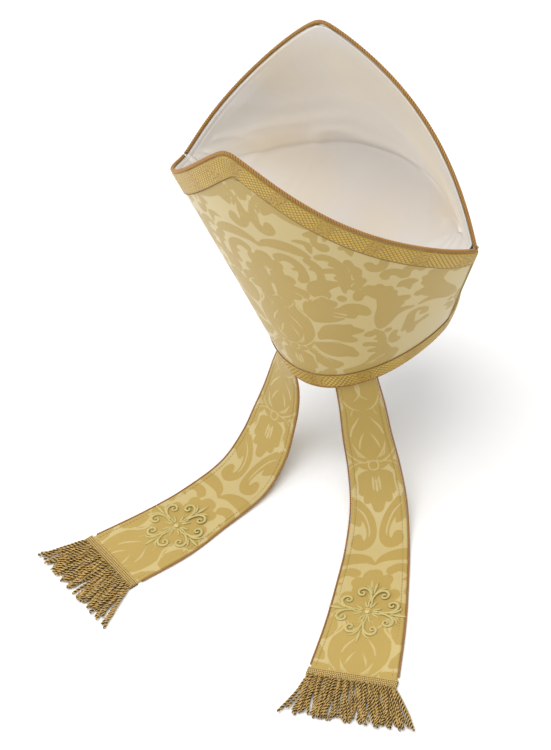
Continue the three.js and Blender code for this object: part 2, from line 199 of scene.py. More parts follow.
def evenPath(points, step):
    # the same line with its points a step apart
    run = pathLength(points)
    count = max(int(round(run[-1] / step)), 2)
    marks = np.linspace(0, run[-1], count + 1)
    return np.stack([np.interp(marks, run, points[:, k]) for k in range(3)], -1)


def smoothLine(points, perSpan=6):
    # Catmull-Rom through rows of numbers; extra columns, such as a radius, are carried along
    rows = np.asarray(points, float)
    padded = np.concatenate([[2 * rows[0] - rows[1]], rows, [2 * rows[-1] - rows[-2]]])
    t = (np.arange(perSpan) / perSpan)[:, None]
    spans = []
    for a, b, c, d in zip(padded, padded[1:], padded[2:], padded[3:]):
        spans.append(0.5 * (2 * b + (c - a) * t + (2 * a - 5 * b + 4 * c - d) * t ** 2 +
                            (3 * b - a - 3 * c + d) * t ** 3))
    return np.concatenate(spans + [rows[-1:]])


def carriedFrames(path, hint):
    # two directions across the path at each point, carried along it without twisting
    tangents = unit(np.gradient(path, axis=0))
    across = np.empty_like(path)
    current = np.asarray(hint, float)
    for i, tangent in enumerate(tangents):
        current = current - tangent * (current @ tangent)
        current = current / np.linalg.norm(current)
        across[i] = current
    return across, np.cross(tangents, across)


def tubeAround(path, radii, sides, hint=(0.0, 0.0, 1.0), flatten=1.0):
    # a closed tube along a path; flatten squeezes it along the hint
    across, over = carriedFrames(path, hint)
    angles = np.linspace(0, 2 * math.pi, sides, endpoint=False)
    radii = np.broadcast_to(np.asarray(radii, float), len(path))[:, None, None]
    rings = path[:, None] + radii * (flatten * np.cos(angles)[:, None] * across[:, None] +
                                     np.sin(angles)[:, None] * over[:, None])
    faces = [gridFaces(len(path), sides, closed=True), np.arange(sides)[None, ::-1],
             (np.arange(sides) + (len(path) - 1) * sides)[None]]
    run = np.repeat(pathLength(path), sides)
    turn = np.tile(angles / (2 * math.pi), len(path))
    # z is 1 on the side the hint points to (the top) and 0 on the far side; the cord material paints shade on
    # the low side from it
    strand = np.stack([run, turn, np.tile(0.5 + 0.5 * np.cos(angles), len(path))], -1)
    return rings.reshape(-1, 3), faces, {"strand": strand}, 0


def twistedCord(path, radius, pitch, plies=2, sides=7, step=0.9 * mm, turnStart=0.0):
    # plies laid round each other along a path, with ends drawn in
    line = evenPath(path, step)
    run = pathLength(line)
    across, over = carriedFrames(line, (0.0, 0.0, 1.0))
    plyRadius = radius * (0.52 if plies == 2 else 0.47)
    parts = []
    for k in range(plies):
        turn = 2 * math.pi * (run / pitch + k / plies) + turnStart
        outward = np.cos(turn)[:, None] * across + np.sin(turn)[:, None] * over
        centre = line + (radius - plyRadius) * outward
        fromEnd = np.minimum(run, run[-1] - run)
        thickness = plyRadius * np.sqrt(np.clip(fromEnd / radius, 0.04, 1))
        ply = tubeAround(centre, thickness, sides)
        # how far each place stands out of the cord; the cord material paints shade into the grooves from it
        proud = np.linalg.norm(ply[0] - np.repeat(line, sides, 0), axis=1)
        ply[2]["strand"][:, 2] = proud / np.repeat(radius - plyRadius + thickness, sides)
        parts.append(ply)
    return parts


class Thread:
    # one socket of a material, so that sums on it add the Math nodes
    def __init__(self, dye, socket):
        self.dye = dye
        self.socket = socket

    def calc(self, operation, first, second=None):
        return self.dye.node("ShaderNodeMath", {"operation": operation}, {0: first, 1: second})

    def __add__(self, other):
        return self.calc("ADD", self, other)

    def __radd__(self, other):
        return self.calc("ADD", other, self)

    def __sub__(self, other):
        return self.calc("SUBTRACT", self, other)

    def __rsub__(self, other):
        return self.calc("SUBTRACT", other, self)

    def __mul__(self, other):
        return self.calc("MULTIPLY", self, other)

    def __rmul__(self, other):
        return self.calc("MULTIPLY", other, self)

    def __abs__(self):
        return self.calc("ABSOLUTE", self)

    def wave(self):
        return self.calc("SINE", self)

    def between(self, low, high):
        # 0 below low and 1 above high, with a soft step
        return self.dye.node("ShaderNodeMapRange", {"interpolation_type": "SMOOTHSTEP"},
                             {"Value": self, "From Min": low, "From Max": high})

    def least(self, other):
        return self.calc("MINIMUM", self, other)


class Dye:
    # a material under construction
    def __init__(self, name, **constants):
        self.material = bpy.data.materials.new(name)
        self.material.use_nodes = True
        self.tree = self.material.node_tree
        self.tree.nodes.clear()
        self.shader = self.tree.nodes.new("ShaderNodeBsdfPrincipled")
        output = self.tree.nodes.new("ShaderNodeOutputMaterial")
        self.tree.links.new(self.shader.outputs[0], output.inputs[0])
        for key, value in constants.items():
            self.shader.inputs[key].default_value = value

    def node(self, kind, settings=None, inputs=None, output=0):
        made = self.tree.nodes.new(kind)
        for key, value in (settings or {}).items():
            setattr(made, key, value)
        for key, value in (inputs or {}).items():
            if value is None:
                continue
            if isinstance(value, Thread):
                self.tree.links.new(value.socket, made.inputs[key])
            else:
                made.inputs[key].default_value = value
        return Thread(self, made.outputs[output])

    def feed(self, **sockets):
        for key, value in sockets.items():
            self.tree.links.new(value.socket, self.shader.inputs[key.replace("_", " ")])
        return self.material

    def attribute(self, name, output="Fac"):
        return self.node("ShaderNodeAttribute", {"attribute_name": name}, output=output)

    def split(self, vector):
        separate = self.node("ShaderNodeSeparateXYZ", inputs={0: vector}).socket.node
        return [Thread(self, separate.outputs[k]) for k in range(3)]

    def join(self, x, y, z=0.0):
        return self.node("ShaderNodeCombineXYZ", inputs={0: x, 1: y, 2: z})

    def noise(self, vector, scale, detail=2.0, roughness=0.5):
        return self.node("ShaderNodeTexNoise", inputs={
            "Vector": vector, "Scale": scale, "Detail": detail, "Roughness": roughness})

    def place(self):
        return self.node("ShaderNodeTexCoord", output="Object")

    def blend(self, factor, first, second, mode="MIX"):
        colours = [(*c, 1) if isinstance(c, tuple) else c for c in (first, second)]
        return self.node("ShaderNodeMix", {"data_type": "RGBA", "blend_type": mode},
                         {0: factor, 6: colours[0], 7: colours[1]}, output=2)

    def bump(self, height, distance, strength=1.0, below=None):
        return self.node("ShaderNodeBump", inputs={
            "Height": height, "Distance": distance, "Strength": strength, "Normal": below})


damaskLook = {
    "ground": (0.492, 0.388, 0.163),
    "figure": (0.40, 0.278, 0.066),
    "threadPitch": 0.42 * mm,
    "edgeSoftness": 0.35 * mm,
    "roughness": (0.40, 0.56),  # ground, figure
}


def damaskMaterial(name="damask"):
    look = damaskLook
    dye = Dye(name, **{"Sheen Weight": 0.25, "Sheen Roughness": 0.4, "Specular IOR Level": 0.45})
    depth = dye.attribute("figure")
    across, along, _ = dye.split(dye.attribute("cloth", "Vector"))
    mask = depth.between(-look["edgeSoftness"], look["edgeSoftness"])
    turns = 2 * math.pi / look["threadPitch"]
    weft = (along * turns).wave() * 0.5 + 0.5
    twill = ((across + along) * (turns * 0.7)).wave() * 0.5 + 0.5
    place = dye.place()
    slub = dye.noise(dye.join(across * 1400, along * 60), 1.0, 3.0)
    cloudy = dye.noise(place, 14.0, 3.0)
    ground, figure = (dye.blend(slub, tuple(low * c for c in look[key]), tuple(high * c for c in look[key]))
                      for key, low, high in (("ground", 0.93, 1.06), ("figure", 0.92, 1.07)))
    colour = dye.blend(mask, ground, figure)
    colour = dye.blend(0.5, colour, dye.blend(cloudy, (0.86, 0.84, 0.82), (1.12, 1.12, 1.12)), "MULTIPLY")
    relief = weft * mask + twill * (1 - mask) * 0.6 + mask * 1.2 + slub * 0.6
    smooth, matt = look["roughness"]
    roughness = smooth + mask * (matt - smooth) + (slub - 0.5) * 0.12
    normal = dye.bump(relief, 0.06 * mm, 0.6)
    return dye.feed(Base_Color=colour, Roughness=roughness, Normal=normal)


satinLook = {
    "cool": (0.70, 0.672, 0.635),
    "warm": (0.75, 0.655, 0.505),
    "valley": (0.77, 0.75, 0.735),  # the light that is lost low in the valley
    "lift": (1.2, 1.2, 1.19),  # and painted light that brightens the satin low on the front lining
    "roughness": 0.34,
}


def satinMaterial():
    look = satinLook
    dye = Dye("satin", **{"Sheen Weight": 0.2, "Sheen Roughness": 0.35, "Specular IOR Level": 0.5})
    place = dye.place()
    glow = dye.noise(place, 9.0, 1.0).between(0.42, 0.66)
    across, along, _ = dye.split(dye.attribute("cloth", "Vector"))
    rib = (along * (2 * math.pi / (0.35 * mm))).wave()
    slub = dye.noise(dye.join(across * 900, along * 50), 1.0, 2.0)
    colour = dye.blend(glow * 0.7, look["cool"], look["warm"])
    colour = dye.blend(slub * 0.2, colour, (0.62, 0.57, 0.51))
    # painted shade: the satin low in the valley is darkened by the valley colour
    colour = dye.blend(dye.attribute("hollow"), colour, dye.blend(1.0, colour, look["valley"], "MULTIPLY"))
    # painted light: the satin low on the front lining is brightened by the lift factor
    colour = dye.blend(dye.attribute("paleness"), colour, dye.blend(1.0, colour, look["lift"], "MULTIPLY"))
    soft = dye.noise(place, 26.0, 2.0)
    under = dye.bump(soft, 1.2 * mm, 0.5)
    normal = dye.bump(rib * 0.5 + slub, 0.03 * mm, 0.5, under)
    return dye.feed(Base_Color=colour, Roughness=look["roughness"] + slub * 0.12, Normal=normal)


galloonLook = {
    "bright": (0.54, 0.37, 0.062),
    "deep": (0.2, 0.11, 0.02),
    "figured": (0.44, 0.285, 0.05),
    "lozenge": 4.3 * mm,
    "block": 44 * mm,  # lozenges and small figures take turns along the braid
    "turnover": (-0.62, -0.5),
}


def galloonMaterial(name="galloon"):
    # cloth attribute: x along the band, y from its upper edge down, z the share of its width
    look = galloonLook
    dye = Dye(name, **{"Specular IOR Level": 0.5})
    along, up, share = dye.split(dye.attribute("cloth", "Vector"))
    turns = math.pi / look["lozenge"]
    first = abs(((along + up) * turns).wave())
    second = abs(((along - up) * turns).wave())
    lozenge = first.least(second).between(0.1, 0.62)
    figured = dye.noise(dye.join(along * 620, up * 620), 1.0, 1.0).between(0.3, 0.58)
    block = (along * (2 * math.pi / look["block"])).wave().between(*look["turnover"])
    weave = lozenge * block + figured * (1 - block)
    threads = (up * (2 * math.pi / (0.5 * mm))).wave() * 0.5 + 0.5
    border = abs(share - 0.5).between(0.43, 0.46)
    gold = dye.blend(weave, look["deep"], dye.blend(block, look["figured"], look["bright"]))
    gold = dye.blend(threads * 0.12, gold, (0.78, 0.58, 0.17))
    colour = dye.blend(border * 0.6, gold, look["figured"])
    cloudy = dye.noise(dye.place(), 60.0, 3.0)
    colour = dye.blend(0.7, colour, dye.blend(cloudy, (0.78, 0.76, 0.73), (1.22, 1.22, 1.22)), "MULTIPLY")
    normal = dye.bump(weave * (1 - border) + threads * 0.25, 0.35 * mm, 0.7)
    return dye.feed(Base_Color=colour, Metallic=weave * 0.3 + 0.15, Roughness=0.5 - weave * 0.12,
                    Normal=normal)


def cordMaterial(name, dark, light, metallic, fibres=0.5 * mm, roughness=0.45, groove=(0.55, 0.92)):
    # strand attribute: x along a ply, y the turn round it, z how far it stands out of the cord; the low
    # places by z get the dark colour, painted shade in the grooves between plies
    dye = Dye(name, **{"Specular IOR Level": 0.5})
    run, turn, proud = dye.split(dye.attribute("strand", "Vector"))
    fibre = ((run * (2 * math.pi / fibres)) + turn * (4 * math.pi)).wave() * 0.5 + 0.5
    patch = dye.noise(dye.place(), 220.0, 3.0)
    silk = dye.blend(fibre * 0.5 + patch * 0.5, tuple(0.66 * c for c in light), light)
    # painted shade: grooves and low sides take the dark colour, raised places the thread colour
    colour = dye.blend(proud.between(*groove), dark, silk)
    normal = dye.bump(fibre, 0.12 * mm, 0.7)
    return dye.feed(Base_Color=colour, Metallic=metallic + patch * 0.1,
                    Roughness=roughness + (patch - 0.5) * 0.2, Normal=normal)


satin = satinMaterial()
damask = damaskMaterial()
galloon = galloonMaterial()
# The first colour of each cord material is painted shade for its grooves and low sides; the second is the
# thread's own colour.
pipingGold = cordMaterial("pipingGold", (0.065, 0.022, 0.004), (0.48, 0.245, 0.055), 0.25,
                          groove=(0.62, 0.97))
edgeCopper = cordMaterial("edgeCopper", (0.12, 0.042, 0.008), (0.50, 0.25, 0.065), 0.2,
                          groove=(0.6, 0.97))
brownCord = cordMaterial("brownCord", (0.13, 0.06, 0.014), (0.42, 0.23, 0.07), 0.15)
bullionGold = cordMaterial("bullionGold", (0.024, 0.009, 0.002), (0.62, 0.405, 0.125), 0.3,
                           fibres=0.6 * mm, roughness=0.34, groove=(0.68, 0.98))
headerGold = cordMaterial("headerGold", (0.11, 0.055, 0.012), (0.64, 0.45, 0.14), 0.2,
                          groove=(0.15, 0.75))
seamThread = cordMaterial("seamThread", (0.2, 0.13, 0.03), (0.46, 0.34, 0.11), 0.05)
crossThread = cordMaterial("crossThread", (0.16, 0.105, 0.02), (0.64, 0.525, 0.195), 0.05,
                           fibres=0.45 * mm, roughness=0.4, groove=(0.08, 0.55))
stitchThread = cordMaterial("stitchThread", (0.28, 0.17, 0.04), (0.40, 0.26, 0.07), 0.05,
                            groove=(0.2, 0.8))
print("materials mixed")


# Each row is one leaf, lobe or scroll as a tapered brush stroke on the flat cloth: across from the
# mirror line, up, and half its breadth, all in millimetres. The pattern repeats every repeatHeight.
weaving = {"repeatHeight": 228.0, "flankMirror": 120.0, "gridStep": 0.5, "reach": 200.0,
           "veinBreadth": 0.72}

figures = {
    "spadeLeaf": [
        [(0, 271, 6), (0, 260, 10), (0, 251, 8.6)],
        [(4, 271, 5), (11, 267.5, 5.6), (14, 260, 4.6), (14, 254, 1.4)],
        [(0, 257, 8), (7.6, 252, 5), (9.6, 248.4, 3.4)],
        [(0, 251, 8), (0, 243, 5.6), (0, 241, 5)],
    ],
    "scroll": [
        [(28, 250, 5), (20, 245, 5.4), (12.4, 236, 5.4), (7.4, 226, 4.9), (5.6, 216, 4.5), (7, 208, 4.6),
         (12, 203.6, 4.8), (17.6, 206.6, 5.8), (18, 212, 4.4)],
        [(30, 238, 5), (24, 234, 4.8), (19.4, 229.6, 4), (17, 226, 2)],
        [(25, 240, 4), (30, 236.5, 6), (36, 231, 5.5), (43, 226, 5), (54, 221, 5)],
    ],
    "sprigs": [
        [(62, 214, 3), (56, 210, 4.5), (50.5, 209, 2.2)],
        [(58, 208, 3.5), (56.5, 200, 3), (60, 196, 4.6), (63, 194.5, 5.6)],
        [(67.5, 207, 2.8), (66, 203.5, 1.6)],
        [(36.5, 199, 1), (43, 199.5, 2.6), (49.5, 197, 3.4), (50, 191, 2.8), (50.5, 185.5, 0.8)],
        [(86, 197, 3.5), (77.5, 194, 2.6)],
        [(84, 194, 4.4), (84, 189, 3.4), (84, 183.5, 1)],
    ],
    "crest": [
        [(0.5, 181.5, 1.2), (7, 187.5, 4), (18, 190, 6), (29, 189.6, 6.4), (39, 186, 5.2), (47, 181.2, 2.2)],
        [(44.5, 175.5, 4.2), (50.5, 168, 4.6), (51.8, 158, 3.6), (50.5, 150, 4)],
        [(49, 166, 3.4), (44, 165, 1.4)],
    ],
    "innerArch": [
        [(15.5, 172.5, 4.6), (21, 175.2, 4.6), (28.5, 173.6, 4.4), (34.5, 167, 4.6), (36.2, 159, 4.6),
         (35.4, 152, 5), (32.5, 148.6, 3.8)],
        [(34, 162.8, 3), (27.6, 161.6, 1.4)],
    ],
    "palmette": [
        [(0, 158, 13), (0, 149, 12), (0, 142, 11)],
        [(1.5, 168, 7.2), (0, 160, 9)],
        [(12.5, 162, 6), (6, 156, 9)],
        [(20, 145.5, 6), (14, 143, 7), (0, 142, 8)],
        [(11.5, 153.5, 5.4)],
    ],
    "lowerLobes": [
        [(28.5, 130, 6.4), (20, 133, 6.6), (8, 134, 8), (0, 134, 9)],
        [(22.5, 124, 3.6), (14, 124.5, 5), (0, 124, 6)],
    ],
    "pomegranate": [
        [(0, 112, 16), (0, 100, 22), (0, 86, 27), (0, 72, 24), (0, 62, 16), (0, 55, 10)],
        [(14, 116, 4), (12, 108, 8)],
    ],
    "halfPalmette": [
        [(30, 107, 7), (36, 113, 11), (46, 117, 9.5), (54, 121, 3.4)],
        [(57.5, 98.8, 1.2), (50, 98, 3.4), (41, 99.5, 6.5), (33, 101, 8)],
        [(78, 103.5, 4.6), (74, 109, 7.4), (67, 110.5, 9), (60, 108, 7), (50, 109, 6)],
        [(66, 101, 3.4), (62, 103, 4)],
    ],
    "bigLeaf": [
        [(68, 78.5, 2.6), (62, 80, 5.5), (54, 82, 8.4), (44, 81, 10), (36, 77, 7), (30, 71, 2.5)],
        [(60, 88, 2.5), (52, 87, 3.6), (44, 87, 3.4)],
        [(59, 66.5, 3.2), (52, 70, 6.6), (44, 74, 7.6)],
        [(54, 45, 4.2), (49, 51, 7.4), (41, 54.5, 10.6), (33, 57, 8.6), (26, 61, 4)],
        [(54.5, 55, 1.6), (48, 56, 5)],
        [(37.5, 33.5, 4.4), (31, 34, 7.4), (25, 39, 6.8), (22, 46, 4), (18, 51, 4)],
    ],
    "knotBud": [[(62.5, 127, 4.4), (62.5, 126.6, 4.3)]],
    "shoulder": [
        [(61.5, 147, 4), (55, 146, 6), (46, 142, 8.6), (42, 135.5, 8), (48, 133, 7)],
    ],
    "acanthus": [
        [(54.5, 181, 3.4), (60, 182, 4.2), (66.5, 178.5, 4.4), (71, 170, 5), (72, 160, 5.4), (70.5, 149, 5.6),
         (67.5, 139, 2.6), (67.3, 135, 1.4)],
        [(71, 171, 4), (64, 172.4, 2.6)],
        [(70, 160, 4), (64, 164.5, 3.4), (57.5, 164, 3.4)],
        [(71, 151, 4.4), (65, 155, 2.8)],
        [(79, 175.5, 3.6), (80.5, 168, 4), (83.5, 163.5, 4.6), (81.5, 158, 5.4)],
        [(84.5, 149.5, 4.6), (80, 146, 5.4), (76, 141, 4.6)],
    ],
    "bottomBand": [
        [(86, 33.5, 4.6), (78, 34, 7), (70, 33, 5.4), (64, 29.5, 3), (56, 24.5, 3.4), (42, 21, 4)],
        [(88, 30, 3.5), (78, 24, 6), (60, 17, 6), (44, 14, 5)],
    ],
    "stem": [
        [(79, 75.5, 1.6), (82, 67, 3.8), (81.4, 56, 4.2), (80.2, 46, 4.8), (80, 37, 6.6)],
        [(79, 72, 3), (74, 71, 4.4), (71, 70.4, 2.6)],
        [(80, 61, 3), (75.5, 61.5, 1.2)],
        [(78, 50, 3.6), (72, 55, 3.2), (67.2, 56.6, 3.4)],
        [(77, 42, 4.4), (71.6, 45, 3.2), (68, 45.4, 2.6)],
        [(90, 70, 3.2), (89.4, 69.6, 3.2)],
        [(94.4, 63, 3), (91, 57.5, 3.6), (91, 50, 4.6), (94.5, 50.5, 2.6)],
    ],
}

flanks = {
    "trumpet": [
        [(76, 126, 4.4), (78.5, 131, 5), (86, 135, 6.4), (94, 130, 9), (99, 122, 9), (98.5, 112, 9.4),
         (96.5, 102, 10), (92, 92, 9.6), (87.5, 83, 6.4), (85, 78.5, 3.6)],
        [(88, 138, 4.4), (90, 134, 5)],
        [(97, 137.5, 4), (97, 131, 6)],
        [(103.4, 132, 4.4), (100, 127, 7)],
        [(106, 125, 4), (101, 120, 7)],
        [(114.5, 111.5, 4.2), (107, 112, 6), (100, 110, 8)],
        [(109.5, 105, 2.4), (103, 103, 5)],
        [(117, 93.6, 1.8), (109, 95, 3.6), (101, 94, 5.4), (95, 90, 6)],
    ],
    "droplet": [
        [(111.8, 132, 1.6), (117, 134, 4.8), (120, 134, 5.4)],
        [(120, 131, 4.6), (120, 126.5, 2.4), (120, 123, 0.8)],
    ],
    "sideScrolls": [
        [(110, 176, 3.4), (107.5, 168, 4.4), (103, 163.4, 4.6), (97.5, 164, 4.8), (95.6, 169, 4.6)],
        [(118.5, 145, 3.4), (116.6, 151.5, 4.6), (111, 155, 4.8), (105, 152.6, 4.6), (104.6, 148.4, 3.4)],
    ],
}

risingScroll = [
    [(101, 60, 2), (107, 66, 4.8), (110.6, 74, 4.6), (114, 82, 3.8), (120.5, 84.4, 3), (126, 80.4, 3),
     (125, 76, 3.6), (122.4, 76, 3)],
    [(124, 64.6, 3.4), (118, 62.6, 2.4), (110, 61, 4.6), (107, 54, 4)],
]

# Pale veins and gaps that cut through the figures.
veins = [
    [(21, 243.6, 0.6), (13.6, 236, 1), (9.2, 226, 1), (7.6, 217, 1), (8.2, 212, 0.5)],
    [(0, 269.5, 0.3), (0, 263, 1), (0, 258, 1.5), (0, 255, 0.4)],
    [(0, 262, 0.4), (2, 267, 0.5)],
    [(0, 163.5, 0.5), (0.5, 156, 0.9), (0, 148, 2.2), (0, 141, 0.8)],
    [(0.5, 151, 1), (5, 154, 0.6)],
    [(1, 134, 0.6), (1.2, 127, 1.3), (0.6, 120, 0.9), (6, 115, 0.6)],
    [(23.4, 118, 1.4), (18.4, 114, 1.4), (18, 107.6, 1.4), (22, 101.6, 1.2), (27.4, 95, 1.5), (30, 87.5, 1.2),
     (28.6, 79, 0.9), (25, 71, 0.9), (20.6, 64, 0.9), (14, 57.6, 1), (7, 54.4, 0.9), (3.6, 56.4, 0.7)],
    [(4, 98.6, 0.3), (8, 93, 0.9), (12, 87.4, 1.3), (15, 80, 0.5)],
    [(3.4, 105, 0.4), (9, 107, 0.9), (14, 112, 1), (16, 117, 0.5)],
    [(2.6, 82, 0.3), (5.4, 78, 0.9), (8, 72, 1.2), (9, 67, 0.4)],
    [(4, 58, 0.3), (8, 61, 0.9), (12.6, 67, 1.1), (14.6, 73, 0.4)],
    [(13, 66.6, 0.4), (11.4, 61.4, 0.8), (6.6, 58.6, 0.5)],
    [(9, 105.6, 0.5), (11.6, 99.4, 0.6)],
    [(12.4, 85.6, 0.5), (14.4, 79.6, 0.6)],
    [(58.6, 94.6, 1.3), (50, 93.2, 1.1), (41, 91.6, 0.9), (35, 87.4, 0.7), (30, 80, 0.9)],
    [(59, 61.4, 1.5), (51, 63.6, 1.1), (44.4, 67.4, 1.1), (37, 69, 0.9), (30, 67, 0.7)],
    [(59, 118.4, 1), (56, 116, 1), (53, 113.4, 0.8)],
    [(60.4, 103.6, 1.6), (55, 106.6, 1), (50.4, 107.6, 0.6)],
    [(46, 65, 0.3), (40, 62.4, 0.3)],
    [(33, 36.6, 0.6), (28, 43, 0.9), (22, 49.6, 0.7), (16, 53.6, 0.7), (10, 54.6, 0.8)],
    [(6, 47.6, 0.6), (12, 46.6, 0.9), (16, 43.6, 1), (16.6, 36, 0.9), (17.6, 29, 1.2), (20, 23, 1.6)],
    [(2.6, 41, 0.8), (3, 35, 1.3), (3, 29, 0.7)],
    [(4.6, 51.6, 0.9), (3.2, 54.8, 0.9), (0, 56, 0.9)],
    [(4.6, 51.6, 0.9), (3.2, 48.4, 0.9), (0, 47.2, 0.9)],
    [(30.6, 120.4, 1.2), (27.4, 126, 1), (22.6, 129.2, 0.9), (17, 129.8, 0.4)],
    [(36, 134, 0.6), (35.6, 128.4, 0.9), (33.4, 123.6, 1)],
    [(50, 127.6, 1.3), (46, 129.8, 1), (42, 128.6, 1.1), (38, 125.4, 1.1), (35, 122, 0.8)],
    [(76.6, 169, 0.5), (77.8, 164.4, 0.8)],
    [(78.6, 159, 0.6), (78, 155.4, 0.9), (77, 151, 0.4)],
    [(79, 147.6, 0.6), (75, 144.4, 1), (74, 141.6, 0.5)],
    [(78, 32.4, 1), (72, 30.6, 0.8), (66, 28.6, 0.9), (60, 27, 0.6)],
    [(86.2, 67, 0.6), (86.4, 58, 0.9), (84.6, 48, 0.7)],
]

flankVeins = [
    [(70.6, 131.6, 0.7), (73.6, 138, 0.7)],
    [(82, 137.6, 0.7), (79.6, 138.6, 0.5)],
]


def offSegment(x, y, start, end):
    # how far along a straight piece of line the nearest place to x, y lies, and how far away it is
    dx, dy = end[0] - start[0], end[1] - start[1]
    t = np.clip(((x - start[0]) * dx + (y - start[1]) * dy) / max(dx ** 2 + dy ** 2, 1e-9), 0, 1)
    return t, np.hypot(x - start[0] - dx * t, y - start[1] - dy * t)


def strokeDepth(stroke, xs, ys):
    # how deep inside a tapered stroke each place of the grid lies; negative outside it
    line = smoothLine(stroke, 4) if len(stroke) > 1 else np.array([stroke[0], stroke[0]], float)
    depth = np.full((len(ys), len(xs)), -9.0)
    margin = line[:, 2].max() + 4
    columns = (xs > line[:, 0].min() - margin) & (xs < line[:, 0].max() + margin)
    rows = (ys > line[:, 1].min() - margin) & (ys < line[:, 1].max() + margin)
    if not columns.any() or not rows.any():
        return depth
    x, y = np.meshgrid(xs[columns], ys[rows])
    best = np.full(x.shape, -9.0)
    for (x0, y0, r0), (x1, y1, r1) in zip(line, line[1:]):
        t, far = offSegment(x, y, (x0, y0), (x1, y1))
        best = np.maximum(best, r0 + (r1 - r0) * t - far)
    depth[np.ix_(rows, columns)] = best
    return depth


def weaveFigures():
    # the depth of the figures over one repeat, from the mirror line outwards
    step, height, mirror = weaving["gridStep"], weaving["repeatHeight"], weaving["flankMirror"]
    xs = np.arange(0, weaving["reach"], step)
    ys = np.arange(0, height, step)
    depth = np.full((len(ys), len(xs)), -9.0)
    gaps = np.full((len(ys), len(xs)), -9.0)
    strokes = [stroke for group in figures.values() for stroke in group] + risingScroll
    sideStrokes = [stroke for group in flanks.values() for stroke in group]
    flipped = [[(2 * mirror - x, y, r) for x, y, r in stroke] for stroke in sideStrokes + [
        stroke for key in ("acanthus", "stem", "sprigs", "knotBud") for stroke in figures[key]]]
    flippedVeins = [[(2 * mirror - x, y, r) for x, y, r in stroke] for stroke in flankVeins]
    for shift in (-height, 0, height):
        for stroke in strokes + sideStrokes + flipped:
            depth = np.maximum(depth, strokeDepth(stroke, xs, ys + shift))
        for stroke in veins + flankVeins + flippedVeins:
            thin = [(x, y, r * weaving["veinBreadth"]) for x, y, r in stroke]
            gaps = np.maximum(gaps, strokeDepth(thin, xs, ys + shift))
    return np.minimum(depth, -gaps) * mm


figureGrid = weaveFigures()


def figureDepth(across, up):
    # across and up are metres on the flat cloth
    step = weaving["gridStep"] * mm
    rows, columns = figureGrid.shape
    x = np.clip(np.abs(across) / step, 0, columns - 1.001)
    y = (up / step) % rows
    i, j = np.floor(y).astype(int), np.floor(x).astype(int)
    v, u = y - i, x - j
    below = (i + 1) % rows
    return ((figureGrid[i, j] * (1 - u) + figureGrid[i, j + 1] * u) * (1 - v) +
            (figureGrid[below, j] * (1 - u) + figureGrid[below, j + 1] * u) * v)


print("damask figures drawn")


crown = {
    "tilt": math.radians(14.5),  # the mitre leans back on the head
    "rimHalfWidth": 84.5 * mm,
    "cornerHalfWidth": 152.5 * mm,
    "fullness": 0.916,
    "cornerHeight": 140.5 * mm,
    "peakHeight": 289 * mm,
    "bandHeight": 18.5 * mm,
    "bandFlare": 0.85,
    "wall": 1.8 * mm,
    "wallFoot": 2.7 * mm,
    "seamGap": 0.15 * mm,
    "edge": {"power": 1.1526, "sag": -0.356, "flare": 0.5216, "tip": 0.012},
}

shields = {
    "front": {"side": -1, "rimDepth": 98 * mm, "rimRoundness": 1.05,
              "cornerDepth": 86 * mm, "cornerRoundness": 2.22},
    "back": {"side": 1, "rimDepth": 98.5 * mm, "rimRoundness": 1.3,
             "cornerDepth": 86.5 * mm, "cornerRoundness": 2.03},
}


def spreadAt(height):
    slack = crown["bandHeight"] * (1 - crown["bandFlare"])
    return (height - slack * np.minimum(height / crown["bandHeight"], 1)) / (crown["cornerHeight"] - slack)


def wallPoint(form, phi, height):
    phi, height = np.broadcast_arrays(np.asarray(phi, float), np.asarray(height, float))
    across, forward = np.sin(phi), np.maximum(np.cos(phi), 0)
    spread = spreadAt(height)
    x = crown["rimHalfWidth"] * across * (1 - spread)
    x = x + crown["cornerHalfWidth"] * np.sign(across) * np.abs(across) ** crown["fullness"] * spread
    y = form["rimDepth"] * forward ** form["rimRoundness"] * (1 - spread)
    y = y + form["cornerDepth"] * forward ** form["cornerRoundness"] * spread
    return np.stack([x, form["side"] * y, height], -1)


def edgeHeight(phi):
    edge = crown["edge"]
    s = np.minimum(np.hypot(np.sin(phi), edge["tip"]), 1)
    rise = (1 - s) ** edge["power"] * (1 + edge["sag"] * s + edge["flare"] * s * s)
    return crown["cornerHeight"] + (crown["peakHeight"] - crown["cornerHeight"]) * rise


def wallNormal(form, phi, height):
    middle = np.clip(phi, -math.pi / 2 + 0.02, math.pi / 2 - 0.02)
    turn = wallPoint(form, middle + 0.01, height) - wallPoint(form, middle - 0.01, height)
    rise = wallPoint(form, middle, height + mm) - wallPoint(form, middle, height - mm)
    return unit(np.cross(rise, turn) * form["side"])


def keptAside(form, points, radius):
    aside = np.maximum(form["side"] * points[..., 1], radius + crown["seamGap"])
    return np.stack([points[..., 0], form["side"] * aside, points[..., 2]], -1)


def wallAt(form, phi, height, offset):
    # the wall's outer face moved out, kept on its own side of the seams
    points = wallPoint(form, phi, height) + np.asarray(offset)[..., None] * wallNormal(form, phi, height)
    return keptAside(form, points, 0)


def leanBack(points):
    c, s = math.cos(crown["tilt"]), math.sin(crown["tilt"])
    x, y, z = np.moveaxis(points, -1, 0)
    return np.stack([x, y * c + z * s, z * c - y * s], -1)


